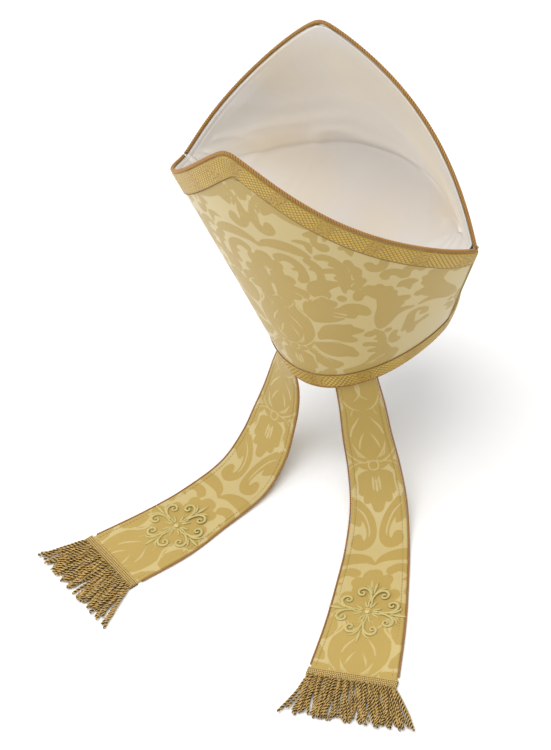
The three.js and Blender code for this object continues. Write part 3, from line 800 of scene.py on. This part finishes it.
def flattenWall(form, low=0.0, high=0.25, count=400):
    # the wall is ruled, so it rolls out flat: the ends of its rulings as they lie on a table
    phis = np.linspace(0, math.pi / 2, count)
    feet = wallPoint(form, phis, low)
    heads = wallPoint(form, phis, high)
    flatFeet = [np.zeros(2)]
    flatHeads = [np.array([0, np.linalg.norm(heads[0] - feet[0])])]

    def settle(start, end, fromStart, fromEnd):
        line = end - start
        length = np.linalg.norm(line)
        line = line / length
        along = (fromStart ** 2 - fromEnd ** 2 + length ** 2) / (2 * length)
        aside = math.sqrt(max(fromStart ** 2 - along ** 2, 0))
        return start + line * along + np.array([line[1], -line[0]]) * aside

    for i in range(1, count):
        foot = settle(flatFeet[-1], flatHeads[-1], np.linalg.norm(feet[i] - feet[i - 1]),
                      np.linalg.norm(feet[i] - heads[i - 1]))
        head = settle(foot, flatHeads[-1], np.linalg.norm(heads[i] - feet[i]),
                      np.linalg.norm(heads[i] - heads[i - 1]))
        flatFeet.append(foot)
        flatHeads.append(head)
    return phis, np.array(flatFeet), np.array(flatHeads), low, high


flatWalls = {key: flattenWall(form) for key, form in shields.items()}


def onTheFlat(key, phi, height):
    phis, feet, heads, low, high = flatWalls[key]
    share = (spreadAt(height) - spreadAt(low)) / (spreadAt(high) - spreadAt(low))
    size = np.abs(phi)
    foot = np.stack([np.interp(size, phis, feet[:, k]) for k in range(2)], -1)
    head = np.stack([np.interp(size, phis, heads[:, k]) for k in range(2)], -1)
    place = foot + (head - foot) * share[..., None]
    return place[..., 0] * np.sign(phi), place[..., 1]


def seamDip(away, depth):
    # how far a line of stitches pulls the cloth in
    return depth * np.exp(-(away / (0.8 * mm)) ** 2)


def phiGrid(columns, rows, reach=math.pi / 2):
    return np.meshgrid(np.linspace(-reach, reach, columns), np.linspace(0, 1, rows), indexing="ij")


def clothVector(across, along, share=None):
    return np.stack([across, along, np.zeros_like(across) if share is None else share], -1)


def makeShield(key, columns=310, rows=160, coarse=6):
    form = shields[key]
    phi, v = phiGrid(columns, rows)
    height = crown["wallFoot"] + (edgeHeight(phi) - crown["wallFoot"]) * v
    front = leanBack(wallAt(form, phi, height, np.zeros_like(phi)))
    across, up = onTheFlat(key, phi, height)
    phi2, v2 = phiGrid(columns // coarse, rows // coarse)
    height2 = crown["wallFoot"] + (edgeHeight(phi2) - crown["wallFoot"]) * v2
    back = leanBack(wallAt(form, phi2, height2, np.full_like(phi2, -crown["wall"])))
    attributes = {"figure": figureDepth(across, up), "cloth": clothVector(across, up)}
    parts = clothSolid(front, back, attributes, flip=form["side"] > 0)
    return placePiece(f"{key}ShieldCloth", parts, [damask, satin], f"{key}_shield")


def offEdge(form, phi):
    middle = np.clip(phi, -math.pi / 2 + 0.02, math.pi / 2 - 0.02)
    top = edgeHeight(middle)
    along = wallPoint(form, middle + 0.01, edgeHeight(middle + 0.01)) - wallPoint(
        form, middle - 0.01, edgeHeight(middle - 0.01))
    off = unit(np.cross(along, wallNormal(form, middle, top)))
    return np.where(off[..., 2:] < 0, -off, off)


braid = {"width": 20 * mm, "thickness": 0.8 * mm, "gap": 0.3 * mm, "pile": 0.22 * mm}


def galloonFoot(form):
    # the lower edge of the galloon as a height for each phi
    phi = np.linspace(0, math.pi / 2, 201)
    target = wallPoint(form, phi, edgeHeight(phi)) - braid["width"] * offEdge(form, phi)
    cut = wallPoint(form, phi, target[:, 2])
    perPhi = wallPoint(form, phi + 0.01, target[:, 2]) - wallPoint(form, phi - 0.01, target[:, 2])
    slope = np.where(np.abs(perPhi[:, 0]) < 1e-9, 1, perPhi[:, 0])
    moved = phi + 0.02 * (target[:, 0] - cut[:, 0]) / slope
    return lambda angle: np.interp(np.abs(angle), moved, target[:, 2])


def wovenBand(key, low, high, columns, rows, name, replaced):
    # a braid on the wall: its pile stands up in lozenges
    form = shields[key]
    phi, v = phiGrid(columns, rows)
    bottom, top = low(phi), high(phi)
    height = bottom + (top - bottom) * v
    across, up = onTheFlat(key, phi, height)
    flat = np.stack([across, up], -1)
    run = pathLength(flat[:, -1])
    heading = unit(np.gradient(flat[:, -1], axis=0))
    fromEdge = flat - flat[:, -1:]
    along = (run - run[len(run) // 2])[:, None] + (fromEdge * heading[:, None]).sum(-1)
    fromTop = np.abs(fromEdge[..., 0] * heading[:, None, 1] - fromEdge[..., 1] * heading[:, None, 0])
    share = 1 - v
    side = np.minimum(share, 1 - share)
    turns = math.pi / galloonLook["lozenge"]
    first = np.abs(np.sin((along + fromTop) * turns))
    second = np.abs(np.sin((along - fromTop) * turns))
    relief = np.minimum(first, second) ** 0.7
    relief = relief * np.clip(side / 0.08, 0, 1) + 0.9 * np.clip(1 - np.abs(side - 0.035) / 0.03, 0, 1)
    outer = braid["gap"] + braid["thickness"] - braid["pile"] + braid["pile"] * relief
    outer = outer * np.clip(side / 0.012, 0.45, 1)
    front = leanBack(wallAt(form, phi, height, outer))
    phi2, v2 = phiGrid(columns // 8, 4)
    height2 = low(phi2) + (high(phi2) - low(phi2)) * v2
    back = leanBack(wallAt(form, phi2, height2, np.full_like(phi2, 0.1 * mm)))
    attributes = {"cloth": clothVector(along, -fromTop, share)}
    parts = clothSolid(front, back, attributes, flip=form["side"] > 0, backFinish=0)
    return placePiece(name, parts, [galloon], replaced)


cords = {
    "pipingRadius": 1.7 * mm,
    "pipingPitch": 7.5 * mm,
    "rimRadius": 1.2 * mm,
    "rimPitch": 5 * mm,
    "tracerRadius": 0.45 * mm,
    "tracerRise": 0.5 * mm,
    "tracerPitch": 2.4 * mm,
    "seamRadius": 1.2 * mm,
    "seamPitch": 4.4 * mm,
}


def cordPiece(name, parts, finish, replaced=None):
    return placePiece(name, parts, [finish], replaced)


def makePiping(key):
    form = shields[key]
    phi = np.linspace(-math.pi / 2 + 0.02, math.pi / 2 - 0.02, 400)
    line = wallAt(form, phi, edgeHeight(phi), np.full_like(phi, -crown["wall"] / 2))
    line = line + (cords["pipingRadius"] + 0.1 * mm) * offEdge(form, phi)
    line = keptAside(form, line, cords["pipingRadius"])
    parts = twistedCord(leanBack(line), cords["pipingRadius"], cords["pipingPitch"], plies=3)
    cordPiece(f"{key}Piping", parts, pipingGold, f"piping_{key}")


def makeRimCord(key):
    form = shields[key]
    phi = np.linspace(-math.pi / 2 + 0.01, math.pi / 2 - 0.01, 240)
    line = wallAt(form, phi, np.zeros_like(phi), np.full_like(phi, braid["thickness"] - cords["rimRadius"]))
    line = keptAside(form, line, cords["rimRadius"])
    line[:, 2] = cords["rimRadius"]
    parts = twistedCord(leanBack(line), cords["rimRadius"], cords["rimPitch"], plies=3)
    cordPiece(f"{key}RimCord", parts, edgeCopper, f"rim_cord_{key}")


def makeTracer(key, level, name):
    # the thin dark cord laid along the edge of a braid
    form = shields[key]
    phi = np.linspace(-math.pi / 2 + 0.02, math.pi / 2 - 0.02, 500)
    offset = np.full_like(phi, cords["tracerRadius"] + 0.1 * mm)
    line = leanBack(wallAt(form, phi, level(phi), offset))
    parts = twistedCord(line, cords["tracerRadius"], cords["tracerPitch"], sides=6, step=0.7 * mm)
    cordPiece(name, parts, brownCord)


def makeSideSeam(side, name):
    # the cord sewn over the join of the two shields
    height = np.linspace(cords["seamRadius"], crown["cornerHeight"] - cords["seamRadius"], 100)
    line = wallPoint(shields["front"], np.full_like(height, side * math.pi / 2), height) * (1, 0, 1)
    parts = twistedCord(leanBack(line), cords["seamRadius"], cords["seamPitch"], step=0.8 * mm)
    cordPiece(f"{name}SideSeam", parts, seamThread)


makeSideSeam(1, "left")
makeSideSeam(-1, "right")
for key, form in shields.items():
    foot = galloonFoot(form)
    makeShield(key)
    wovenBand(key, foot, lambda phi: edgeHeight(phi) - braid["gap"], 560, 28,
              f"{key}Galloon", f"galloon_{key}")
    wovenBand(key, lambda phi: np.full_like(phi, crown["wallFoot"]),
              lambda phi: np.full_like(phi, crown["bandHeight"]), 440, 24,
              f"{key}Headband", f"headband_{key}")
    makePiping(key)
    makeRimCord(key)
    makeTracer(key, lambda phi: foot(phi) - braid["gap"], f"{key}GalloonCord")
    makeTracer(key, lambda phi: np.full_like(phi, crown["bandHeight"] + cords["tracerRise"]),
               f"{key}HeadbandCord")
print("crown made")


web = {
    "thickness": 1.1 * mm,
    "clearance": 0.7 * mm,
    "valleyHeight": 117 * mm,
    "cornerDrop": 6 * mm,
    "dip": 17 * mm,
    "endPhi": 1.3,
    "stitchInset": 3.5 * mm,
    "seamDepth": 0.45 * mm,
    "flatEdge": 14 * mm,  # how far in the folds die out
    "puff": 0.45 * mm,
    "loft": 0.4 * mm,
    "capThickness": 0.5 * mm,
}


def webPoints(columns, rows, lift):
    phi = np.linspace(-web["endPhi"], web["endPhi"], columns)
    corner = crown["cornerHeight"] - web["cornerDrop"]
    root = web["valleyHeight"] + (corner - web["valleyHeight"]) * np.abs(np.sin(phi)) ** 4
    against = -(crown["wall"] + web["clearance"])
    front, back = shields["front"], shields["back"]

    def lining(form, height):
        return wallPoint(form, phi, height) + (against - lift) * wallNormal(form, phi, height)

    low = root - web["dip"] * np.cos(phi) + lift / 0.75
    top = edgeHeight(phi) - 0.3 * mm
    climbRows, bridgeRows = int(rows * 0.36), rows - 2 * int(rows * 0.36)
    grid = []
    for v in np.linspace(1, 0, climbRows):
        grid.append(lining(front, root + (top - root) * v))
    a, b, c, d = lining(front, root), lining(front, low), lining(back, low), lining(back, root)
    for t in np.linspace(0, 1, bridgeRows + 2)[1:-1]:
        grid.append((1 - t) ** 3 * a + 3 * (1 - t) ** 2 * t * b + 3 * (1 - t) * t * t * c + t ** 3 * d)
    for v in np.linspace(0, 1, climbRows):
        grid.append(lining(back, root + (top - root) * v))
    return np.array(grid).transpose(1, 0, 2), phi


# Creases of the satin, as a line of places (angle round the crown, share of the way from the
# front peak to the back peak), the breadth and the height of the ridge.
creases = [
    {"line": [(-0.72, 0.42), (-0.45, 0.375), (-0.15, 0.345), (0.05, 0.34), (0.2, 0.31), (0.36, 0.31),
              (0.44, 0.4), (0.42, 0.52)], "breadth": 6 * mm, "height": 1.5 * mm},
    {"line": [(-0.98, 0.36), (-0.86, 0.44), (-0.66, 0.5)], "breadth": 3.4 * mm, "height": 1.1 * mm},
    {"line": [(-0.98, 0.36), (-0.9, 0.47), (-0.76, 0.56)], "breadth": 3 * mm, "height": 0.9 * mm},
    {"line": [(-1.0, 0.35), (-0.82, 0.4), (-0.58, 0.43)], "breadth": 3 * mm, "height": 0.9 * mm},
    {"line": [(-1.0, 0.36), (-0.98, 0.48), (-0.92, 0.58)], "breadth": 2.8 * mm, "height": 0.8 * mm},
    {"line": [(-0.62, 0.1), (-0.86, 0.22), (-1.05, 0.34), (-1.12, 0.46)],
     "breadth": 3 * mm, "height": 0.7 * mm},
    {"line": [(0.95, 0.12), (0.8, 0.2), (0.78, 0.34), (0.9, 0.46)], "breadth": 6 * mm, "height": 0.8 * mm},
    {"line": [(0.62, 0.05), (0.45, 0.16), (0.1, 0.2), (-0.2, 0.24)], "breadth": 7 * mm, "height": 0.6 * mm},
    {"line": [(0.7, 0.2), (0.4, 0.25), (0.1, 0.26)], "breadth": 6 * mm, "height": 0.6 * mm},
    {"line": [(1.16, 0.1), (1.1, 0.25), (1.12, 0.4), (1.16, 0.55)], "breadth": 3 * mm, "height": 0.7 * mm},
]
creaseScale = (0.11, 0.27)  # metres of satin per unit of angle and of share


def ridgeOf(crease, angle, share):
    x, y = angle * creaseScale[0], share * creaseScale[1]
    line = smoothLine(crease["line"], 5) * creaseScale
    nearest = np.full(np.broadcast(x, y).shape, 1.0)
    for start, end in zip(line, line[1:]):
        nearest = np.minimum(nearest, offSegment(x, y, start, end)[1])
    return crease["height"] * np.exp(-(nearest / crease["breadth"]) ** 2)


def endCap(surface, end):
    # the fold of satin that closes the web where the two shields meet
    side = 1 if end else -1
    half = surface.shape[1] // 2 - 1
    share = np.linspace(0, 1, 5)[:, None, None]
    near = surface[end, :half] * (1 - share) + surface[end, ::-1][:half] * share
    far = near + (side * web["capThickness"], 0, 0)
    blank = np.zeros(near.shape[:2])
    attributes = {"cloth": clothVector(near[..., 1], near[..., 2]), "hollow": blank, "paleness": blank}
    return clothSolid(near, far, attributes, flip=side < 0, backFinish=0)


def makeWeb(columns=200, rows=160, coarse=3):
    inner, phi = webPoints(columns, rows, web["thickness"])
    outer, _ = webPoints(columns // coarse, rows // coarse, 0.0)
    rise = gridLength(inner, 1)
    normals = unit(np.cross(np.gradient(inner, axis=0), np.gradient(inner, axis=1)))
    if normals[columns // 2, rows // 2, 2] < 0:
        normals = -normals
    share = np.linspace(0, 1, rows)[None]
    angle = phi[:, None]
    edge = np.minimum(rise, rise[:, -1:] - rise)
    quiet = np.clip(edge / web["flatEdge"], 0, 1)
    puff = web["puff"] * np.sin(angle * 7 + share * 11) * np.sin(share * 19 - angle * 4)
    folds = sum(ridgeOf(crease, angle, share) for crease in creases)
    push = (web["loft"] + puff + folds) * quiet - seamDip(edge - web["stitchInset"], web["seamDepth"])
    surface = leanBack(inner + push[..., None] * normals)
    reverse = leanBack(outer)
    # painted shade for the middle of the valley, strongest near share 0.5 and fading towards the ends of the
    # web
    hollow = np.clip((0.165 - np.abs(share - 0.5)) / 0.05, 0, 1)
    hollow = hollow * np.clip(1.25 - np.abs(angle), 0, 1) ** 0.3
    # painted light: this mask brightens the satin low on the front lining, from share 0.06 to 0.37
    paleness = np.clip((share - 0.06) / 0.18, 0, 1) * np.clip((0.37 - share) / 0.04, 0, 1)
    attributes = {"cloth": clothVector(gridLength(inner, 0), rise), "hollow": hollow,
                  "paleness": paleness * np.ones_like(rise)}
    parts = clothSolid(surface, reverse, attributes, flip=False, backFinish=0)
    parts += endCap(surface, 0) + endCap(surface, -1)
    return placePiece("satinLining", parts, [satin], "satin_web")


makeWeb()
print("satin web made")


lappet = {
    "thickness": 2 * mm,
    "tuck": 11 * mm,
    "setIn": 0.9 * mm,
    "rootWidth": 37 * mm,
    "rootPhi": {"left": 0.52, "right": -0.5},
    "patternTop": {"left": 371 * mm, "right": 375 * mm},  # where the woven repeat starts on the strip
    "stitchInset": 4.2 * mm,
    "cordRadius": 1 * mm,
    "cordPitch": 3.6 * mm,
    "cordSpan": (0.107, 0.993),
}

# Sections of the falling cloth: x, y and z of its middle, its turn, its width and its bow (mm, degrees).
lappetFalls = {
    "left": [
        (45.5, 77, -48, -22, 42, 1.5),
        (52, 80, -75, -15, 47, 1),
        (59, 87, -100, -12, 52, 0.5),
        (61.5, 103, -120, -11, 57, 0),
        (63, 136, -133, -14, 62, 0),
        (74, 185, -136.5, -18, 65, 0),
        (85, 224, -136.5, -20, 71.5, 0),
        (107, 274, -136.5, -19, 75.5, 0),
    ],
    "right": [
        (-43, 80, -48, 35, 38, 1.5),
        (-49, 86.5, -75, 36, 41, 1),
        (-59, 96, -100, 36, 44, 0.5),
        (-73.5, 114.5, -122, 36, 48, 0),
        (-93, 148, -134.5, 37, 54, 0),
        (-111, 182, -136.5, 35, 60, 0),
        (-135, 229, -136.5, 25, 67, 0),
        (-157, 279, -136.5, 18, 75.5, 0),
    ],
}


def rootSection(hand, height, ks):
    form, phi = shields["back"], lappet["rootPhi"][hand]
    offset = -(crown["wall"] + lappet["setIn"] + lappet["thickness"] / 2)
    perPhi = np.linalg.norm(wallPoint(form, phi + 0.01, height) - wallPoint(form, phi, height)) / 0.01
    reach = lappet["rootWidth"] / 2 / perPhi
    return leanBack(wallAt(form, phi + ks * reach, np.full_like(ks, height), np.full_like(ks, offset)))


def fallingSection(row, ks):
    x, y, z, turn, width, bow = row
    angle = math.radians(turn)
    lateral = np.array([math.cos(angle), math.sin(angle), 0])
    outward = np.array([-math.sin(angle), math.cos(angle), 0])
    middle = np.array([x, y, z]) * mm
    return middle + (ks * width * mm / 2)[:, None] * lateral - (bow * mm * ks ** 2)[:, None] * outward


def centripetal(rows, us):
    # the smooth rails through the sections; rows is sections by rails by 3
    padded = np.concatenate([[2 * rows[0] - rows[1]], rows, [2 * rows[-1] - rows[-2]]])
    made = []
    for u in us:
        place = u * (len(rows) - 1)
        i = min(int(place), len(rows) - 2)
        t = place - i
        a, b, c, d = padded[i:i + 4]
        ab, bc, cd = (np.linalg.norm(q - p, axis=-1, keepdims=True) ** 0.5
                      for p, q in ((a, b), (b, c), (c, d)))
        leave = ((b - a) / ab - (c - a) / (ab + bc) + (c - b) / bc) * bc
        arrive = ((c - b) / bc - (d - b) / (bc + cd) + (d - c) / cd) * bc
        made.append(b + leave * t + (3 * (c - b) - 2 * leave - arrive) * t ** 2 +
                    (2 * (b - c) + leave + arrive) * t ** 3)
    return np.array(made)


def lappetMiddle(hand, us, ks):
    ks = np.asarray(ks, float)
    sections = [rootSection(hand, lappet["tuck"], ks), rootSection(hand, 0.0, ks)]
    sections += [fallingSection(row, ks) for row in lappetFalls[hand]]
    return centripetal(np.array(sections), us)


def evenUs(hand, count):
    us = np.linspace(0, 1, 800)
    run = pathLength(lappetMiddle(hand, us, [0.0])[:, 0])
    return np.interp(np.linspace(0, run[-1], count), run, us), run[-1]


def gridNormals(points):
    return unit(np.cross(np.gradient(points, axis=1), np.gradient(points, axis=0)))


def flatArea(points):
    down, over = points[1:, :-1] - points[:-1, :-1], points[:-1, 1:] - points[:-1, :-1]
    return np.linalg.norm(np.cross(down, over), axis=-1).sum()


def makeLappet(hand):
    rows, columns = 310, 62
    us, length = evenUs(hand, rows)
    ks = np.linspace(-1, 1, columns)
    middle = lappetMiddle(hand, us, ks)
    normals = gridNormals(middle)
    run = np.linspace(0, length, rows)[:, None] + 0 * ks
    halfWidth = pathWidth(middle) / 2
    across = halfWidth[:, None] * ks
    inset = halfWidth[:, None] - np.abs(across)
    lying = np.clip((run - 0.45 * length) / (0.2 * length), 0, 1)
    ripple = 0.35 * mm * np.sin(run / length * 17 + ks * 1.3) * lying
    plump = np.clip(inset / (1.2 * mm), 0, 1) ** 0.5
    half = lappet["thickness"] / 2
    rise = half * (0.35 + 0.65 * plump) + np.maximum(ripple, -0.1 * mm) * plump
    rise = rise - seamDip(inset - lappet["stitchInset"], 0.3 * mm)
    top = middle + rise[..., None] * normals
    pick = np.linspace(0, rows - 1, rows // 6).astype(int)
    over = np.linspace(0, columns - 1, 11).astype(int)
    below = (middle - half * normals)[pick][:, over]
    attributes = {
        "figure": figureDepth(across, lappet["patternTop"][hand] - run),
        "cloth": clothVector(across, run),
    }
    parts = clothSolid(top, below, attributes, backFinish=1)
    piece = placePiece(f"{hand}Lappet", parts, [damask, liningGold], f"lappet_{hand}")
    return piece, middle, normals, length


def pathWidth(middle):
    return np.linalg.norm(np.diff(middle, axis=1), axis=-1).sum(1)


def makeLappetCord(hand, k, letter):
    start, end = lappet["cordSpan"]
    us = np.linspace(start, end, 420)
    rails = lappetMiddle(hand, us, [k, k * 0.5])
    side = unit(rails[:, 0] - rails[:, 1])
    line = rails[:, 0] + (lappet["cordRadius"] + 0.05 * mm) * side
    parts = twistedCord(line, lappet["cordRadius"], lappet["cordPitch"], step=0.75 * mm)
    return cordPiece(f"{hand}LappetCord{letter}", parts, edgeCopper, f"lappet_{hand}_cord_{letter.lower()}")


def makeStitches(hand, middle, normals):
    # a running stitch inside each long edge
    stitch = 2.1 * mm
    space = 3.3 * mm
    thickness = 0.32 * mm
    widths = pathWidth(middle)
    run = pathLength(middle[:, middle.shape[1] // 2])
    parts = []
    for side in (-1, 1):
        k = side * (1 - 2 * lappet["stitchInset"] / widths)
        column = (k + 1) / 2 * (middle.shape[1] - 1)
        i = np.floor(column).astype(int)
        share = (column - i)[:, None]
        rows = np.arange(len(middle))
        line = middle[rows, i] * (1 - share) + middle[rows, i + 1] * share
        line = line + normals[rows, i] * (lappet["thickness"] / 2 - 0.18 * mm)
        for begin in np.arange(40 * mm, run[-1] - 3 * mm, space):
            marks = np.linspace(begin, begin + stitch, 5)
            path = np.stack([np.interp(marks, run, line[:, c]) for c in range(3)], -1)
            radii = thickness * np.array([0.3, 0.9, 1, 0.9, 0.3])
            parts.append(tubeAround(path, radii, 6))
    return placePiece(f"{hand}LappetStitching", parts, [stitchThread])


def lappetEnd(hand):
    edge = lappetMiddle(hand, [1.0], [-1.0, 0.0, 1.0])[0]
    across = unit(edge[0] - edge[2])
    along = np.cross(across, (0, 0, 1))
    return {"origin": edge[1], "across": across, "along": along, "width": np.linalg.norm(edge[0] - edge[2]),
            "floor": edge[1][2] - lappet["thickness"] / 2}


cross = {
    "fromEnd": {"left": 64 * mm, "right": 69 * mm},
    "threadPitch": 0.55 * mm,
    "step": 0.22 * mm,
    "settle": 0.25 * mm,
    "scrollLift": 0.4 * mm,
    "boss": {"rise": (0, 0.5, 1.1, 1.5), "radius": (2.4, 2.6, 2.1, 0.8)},
}

# One arm of the cross as cords: aside, out from the centre, half its breadth (mm).
crossArm = {
    "scroll": [(0.9, 10, 0.7), (0.8, 14, 1.0), (1.3, 17.5, 1.1), (3.2, 21.6, 1.25), (6.4, 24.4, 1.35),
               (10, 24.8, 1.35), (12.8, 22.6, 1.3), (13.2, 19.4, 1.2), (11.2, 17, 1.15), (8.6, 17.4, 1.05),
               (8.1, 19.6, 0.95), (9.6, 20.8, 0.9), (10.8, 19.8, 0.7)],
    "crest": [(0.7, 17.5, 0.5), (1.8, 21, 1.0), (3.4, 24.4, 1.15), (6.2, 27.2, 1.0), (9.4, 28.2, 0.4)],
    "tip": [(0, 20, 0.5), (0, 25, 1.1), (0, 28.5, 1.4), (0, 32, 0.9), (0, 35, 0.3)],
    "bud": [(0.9, 4.6, 0.5), (1.0, 7, 1.0), (1.3, 9.6, 0.95), (1.9, 12, 0.3)],
    "rootLeaf": [(1.2, 4.4, 0.5), (3.0, 6.6, 1.0), (4.0, 9.2, 0.9), (5.8, 11.6, 0.3)],
}


def makeCross(hand):
    end = lappetEnd(hand)
    us = np.linspace(0.4, 1, 1200)
    rail = lappetMiddle(hand, us, [0.0])[:, 0]
    target = end["origin"] - end["along"] * cross["fromEnd"][hand]
    middle = rail[np.argmin(np.linalg.norm(rail - target, axis=1))]
    level = end["origin"][2] + lappet["thickness"] / 2 + 0.15 * mm
    parts = []
    for quarter in range(4):
        angle = quarter * math.pi / 2
        for name, stroke in crossArm.items():
            for side in ((1,) if name == "tip" else (1, -1)):
                line = smoothLine(stroke, 8) * mm
                flat = np.stack([line[:, 0] * side, line[:, 1]], -1)
                turned = np.stack([flat[:, 0] * math.cos(angle) - flat[:, 1] * math.sin(angle),
                                   flat[:, 0] * math.sin(angle) + flat[:, 1] * math.cos(angle)], -1)
                lift = cross["scrollLift"] if name == "scroll" else 0.0
                path = middle - turned[:, :1] * end["across"] + turned[:, 1:] * end["along"]
                path[:, 2] = level + lift + cross["settle"]
                full = evenPath(path, cross["step"])
                radii = np.interp(pathLength(full), pathLength(path), line[:, 2])
                ridges = 1 + 0.07 * np.cos(pathLength(full) * 2 * math.pi / cross["threadPitch"])
                parts.append(tubeAround(full, radii * ridges, 9, flatten=0.8))
    boss = np.array([(middle[0], middle[1], level + rise * mm) for rise in cross["boss"]["rise"]])
    parts.append(tubeAround(boss, np.array(cross["boss"]["radius"]) * mm, 16, hint=(1, 0, 0)))
    # the boss is given the lit colour all over, with none of the painted shade
    parts[-1][2]["strand"][:, 2] = 1
    return placePiece(f"{hand}Cross", parts, [crossThread], f"cross_{hand}")


header = {
    "length": 8.5 * mm,
    "overhang": 1.5 * mm,
    "gap": 0.3 * mm,
    "body": 2.3 * mm,
    "bead": 1.9 * mm,
    "beadHeight": 0.7 * mm,
    "cordRadius": 0.75 * mm,
    "cordPitch": 2.6 * mm,
    "rows": 26,
    "columns": 260,
}


def makeHeader(hand):
    end = lappetEnd(hand)
    half = end["width"] / 2 + header["overhang"]

    def at(run, aside, height):
        return end["origin"] * (1, 1, 0) + end["along"] * run + end["across"] * aside + np.array(
            [0, 0, end["floor"] + height])

    parts = []
    asides = np.linspace(-half, half, header["columns"])
    runs = header["gap"] + np.linspace(0, header["length"], header["rows"])
    aside, run = np.meshgrid(asides, runs)
    row = np.floor(run / header["bead"])
    shifted = np.sin(math.pi * (aside / header["bead"] + 0.5 * row))
    bead = np.abs(shifted * np.sin(math.pi * run / header["bead"])) ** 0.6
    top = np.array([[at(r, a, header["body"] + header["beadHeight"] * b) for r, a, b in zip(*line)]
                    for line in zip(run, aside, bead)])
    bottom = np.array([[at(r, a, 0.0) for a in np.linspace(-half, half, 14)]
                       for r in np.linspace(runs[0], runs[-1], 4)])
    # the bead height is strand z, so the header material paints shade in the low places between the beads
    parts += clothSolid(top, bottom, {"strand": clothVector(aside, run * 40, bead)}, backFinish=0)
    for share in (0.06, 0.94):
        line = np.array([at(header["gap"] + share * header["length"], a, header["body"] + 0.2 * mm)
                         for a in np.linspace(-half, half, 80)])
        parts += twistedCord(line, header["cordRadius"], header["cordPitch"], step=0.5 * mm)
    return placePiece(f"{hand}FringeHeader", parts, [headerGold], f"fringe_header_{hand}")


bullion = {
    "length": 43 * mm,
    "spread": 1.42,
    "lean": {"left": 4 * mm, "right": 9 * mm},
    "radius": 1.4 * mm,
    "pitch": 6.8 * mm,
    "perLayer": 31,
    "layers": 3,
    "rootHeight": 1.1 * mm,
    "tuck": 1.5 * mm,
    "sway": 2.4 * mm,
    "curl": 2.2 * mm,
    "ripple": 0.35 * mm,
    "seed": {"left": 11, "right": 23},
}


def makeFringe(hand):
    end = lappetEnd(hand)
    chance = random.Random(bullion["seed"][hand])
    start = 2 * header["gap"] + header["length"]
    rootHalf = end["width"] / 2 + mm
    parts = []
    for layer in range(bullion["layers"]):
        count = bullion["perLayer"] - (layer % 2)
        for i in range(count):
            share = (i + 0.5 + chance.uniform(-0.3, 0.3)) / count * 2 - 1
            length = bullion["length"] * chance.uniform(0.84, 1.0)
            fan = min(max(share + chance.uniform(-0.2, 0.2), -1.05), 1.05)
            sway = chance.uniform(-1, 1) * bullion["sway"]
            swayTurn = chance.uniform(0, 2 * math.pi)
            curl = chance.uniform(-1, 1) * bullion["curl"]
            lift = chance.uniform(-0.6, 0.7) * mm
            points = []
            for t in np.linspace(0, 1, 16):
                width = 1 + (bullion["spread"] - 1) * t ** 0.8
                aside = rootHalf * 0.97 * (share + (fan - share) * t) * width + bullion["lean"][hand] * t
                aside += sway * math.sin(t * 4.4 + swayTurn) * t + curl * max(t - 0.72, 0) / 0.28
                height = bullion["rootHeight"] * (1 + layer) + (bullion["ripple"] + lift) * t
                height -= 0.8 * layer * mm * max(t - 0.6, 0)
                height += bullion["ripple"] * math.sin(t * 9 + swayTurn)
                along = start - bullion["tuck"] + (length + bullion["tuck"]) * t
                place = end["origin"] + end["along"] * along
                place = place + end["across"] * aside
                points.append((place[0], place[1], end["floor"] + max(height, bullion["radius"])))
            radius = bullion["radius"] * chance.uniform(0.85, 1.05)
            parts += twistedCord(smoothLine(points, 4), radius, bullion["pitch"] * chance.uniform(0.9, 1.1),
                                 sides=6, step=1.0 * mm, turnStart=chance.uniform(0, 6))
    return placePiece(f"{hand}Fringe", parts, [bullionGold], f"fringe_{hand}")


def liningMaterial():
    dye = Dye("lappetLining", **{"Sheen Weight": 0.2, "Roughness": 0.7})
    place = dye.place()
    slub = dye.noise(place, 900.0, 2.0)
    colour = dye.blend(slub, (0.42, 0.31, 0.12), (0.52, 0.39, 0.16))
    return dye.feed(Base_Color=colour, Normal=dye.bump(slub, 0.05 * mm, 0.6))


liningGold = liningMaterial()

for hand in ("left", "right"):
    cloth, middle, normals, length = makeLappet(hand)
    going = [makeLappetCord(hand, -1.0, "A"), makeLappetCord(hand, 1.0, "B"),
             makeStitches(hand, middle, normals), makeCross(hand), makeHeader(hand), makeFringe(hand)]
    area = float(flatArea(middle))


room = {
    "size": 30.0,
    "below": 0.2 * mm,
    "floor": (0.9, 0.9, 0.9),
    "sky": 0.78,
    "key": {"at": (0.0, 0.6, 2.7), "size": 3.0, "watts": 66},
    "fill": {"at": (2.0, 1.5, 1.1), "size": 1.6, "watts": 15},
}


def makeRoom():
    size, low = room["size"], cadBox[0][2] - room["below"]
    corners = np.array([(-size, -size, low), (size, -size, low), (size, size, low), (-size, size, low)])
    dye = Dye("paper", Roughness=0.9)
    grain = dye.noise(dye.place(), 40.0, 2.0)
    tint = dye.blend(grain, room["floor"], tuple(c * 0.985 for c in room["floor"]))
    floor = buildMesh("floor", [(corners, [np.array([[0, 1, 2, 3]])], {}, 0)], [dye.feed(Base_Color=tint)])
    world = bpy.data.worlds.new("room")
    world.use_nodes = True
    world.node_tree.nodes["Background"].inputs["Color"].default_value = (1, 1, 1, 1)
    world.node_tree.nodes["Background"].inputs["Strength"].default_value = room["sky"]
    scene.world = world
    centre = (Vector(cadBox[0]) + Vector(cadBox[1])) / 2
    for name in ("key", "fill"):
        lamp = bpy.data.lights.new(name, "AREA")
        lamp.shape = "DISK"
        lamp.size = room[name]["size"]
        lamp.energy = room[name]["watts"]
        holder = bpy.data.objects.new(name, lamp)
        holder.location = Vector(room[name]["at"])
        holder.rotation_euler = (centre - holder.location).to_track_quat("-Z", "Y").to_euler()
        scene.collection.objects.link(holder)


makeRoom()
scene.view_settings.view_transform = "Standard"
print("room lit")
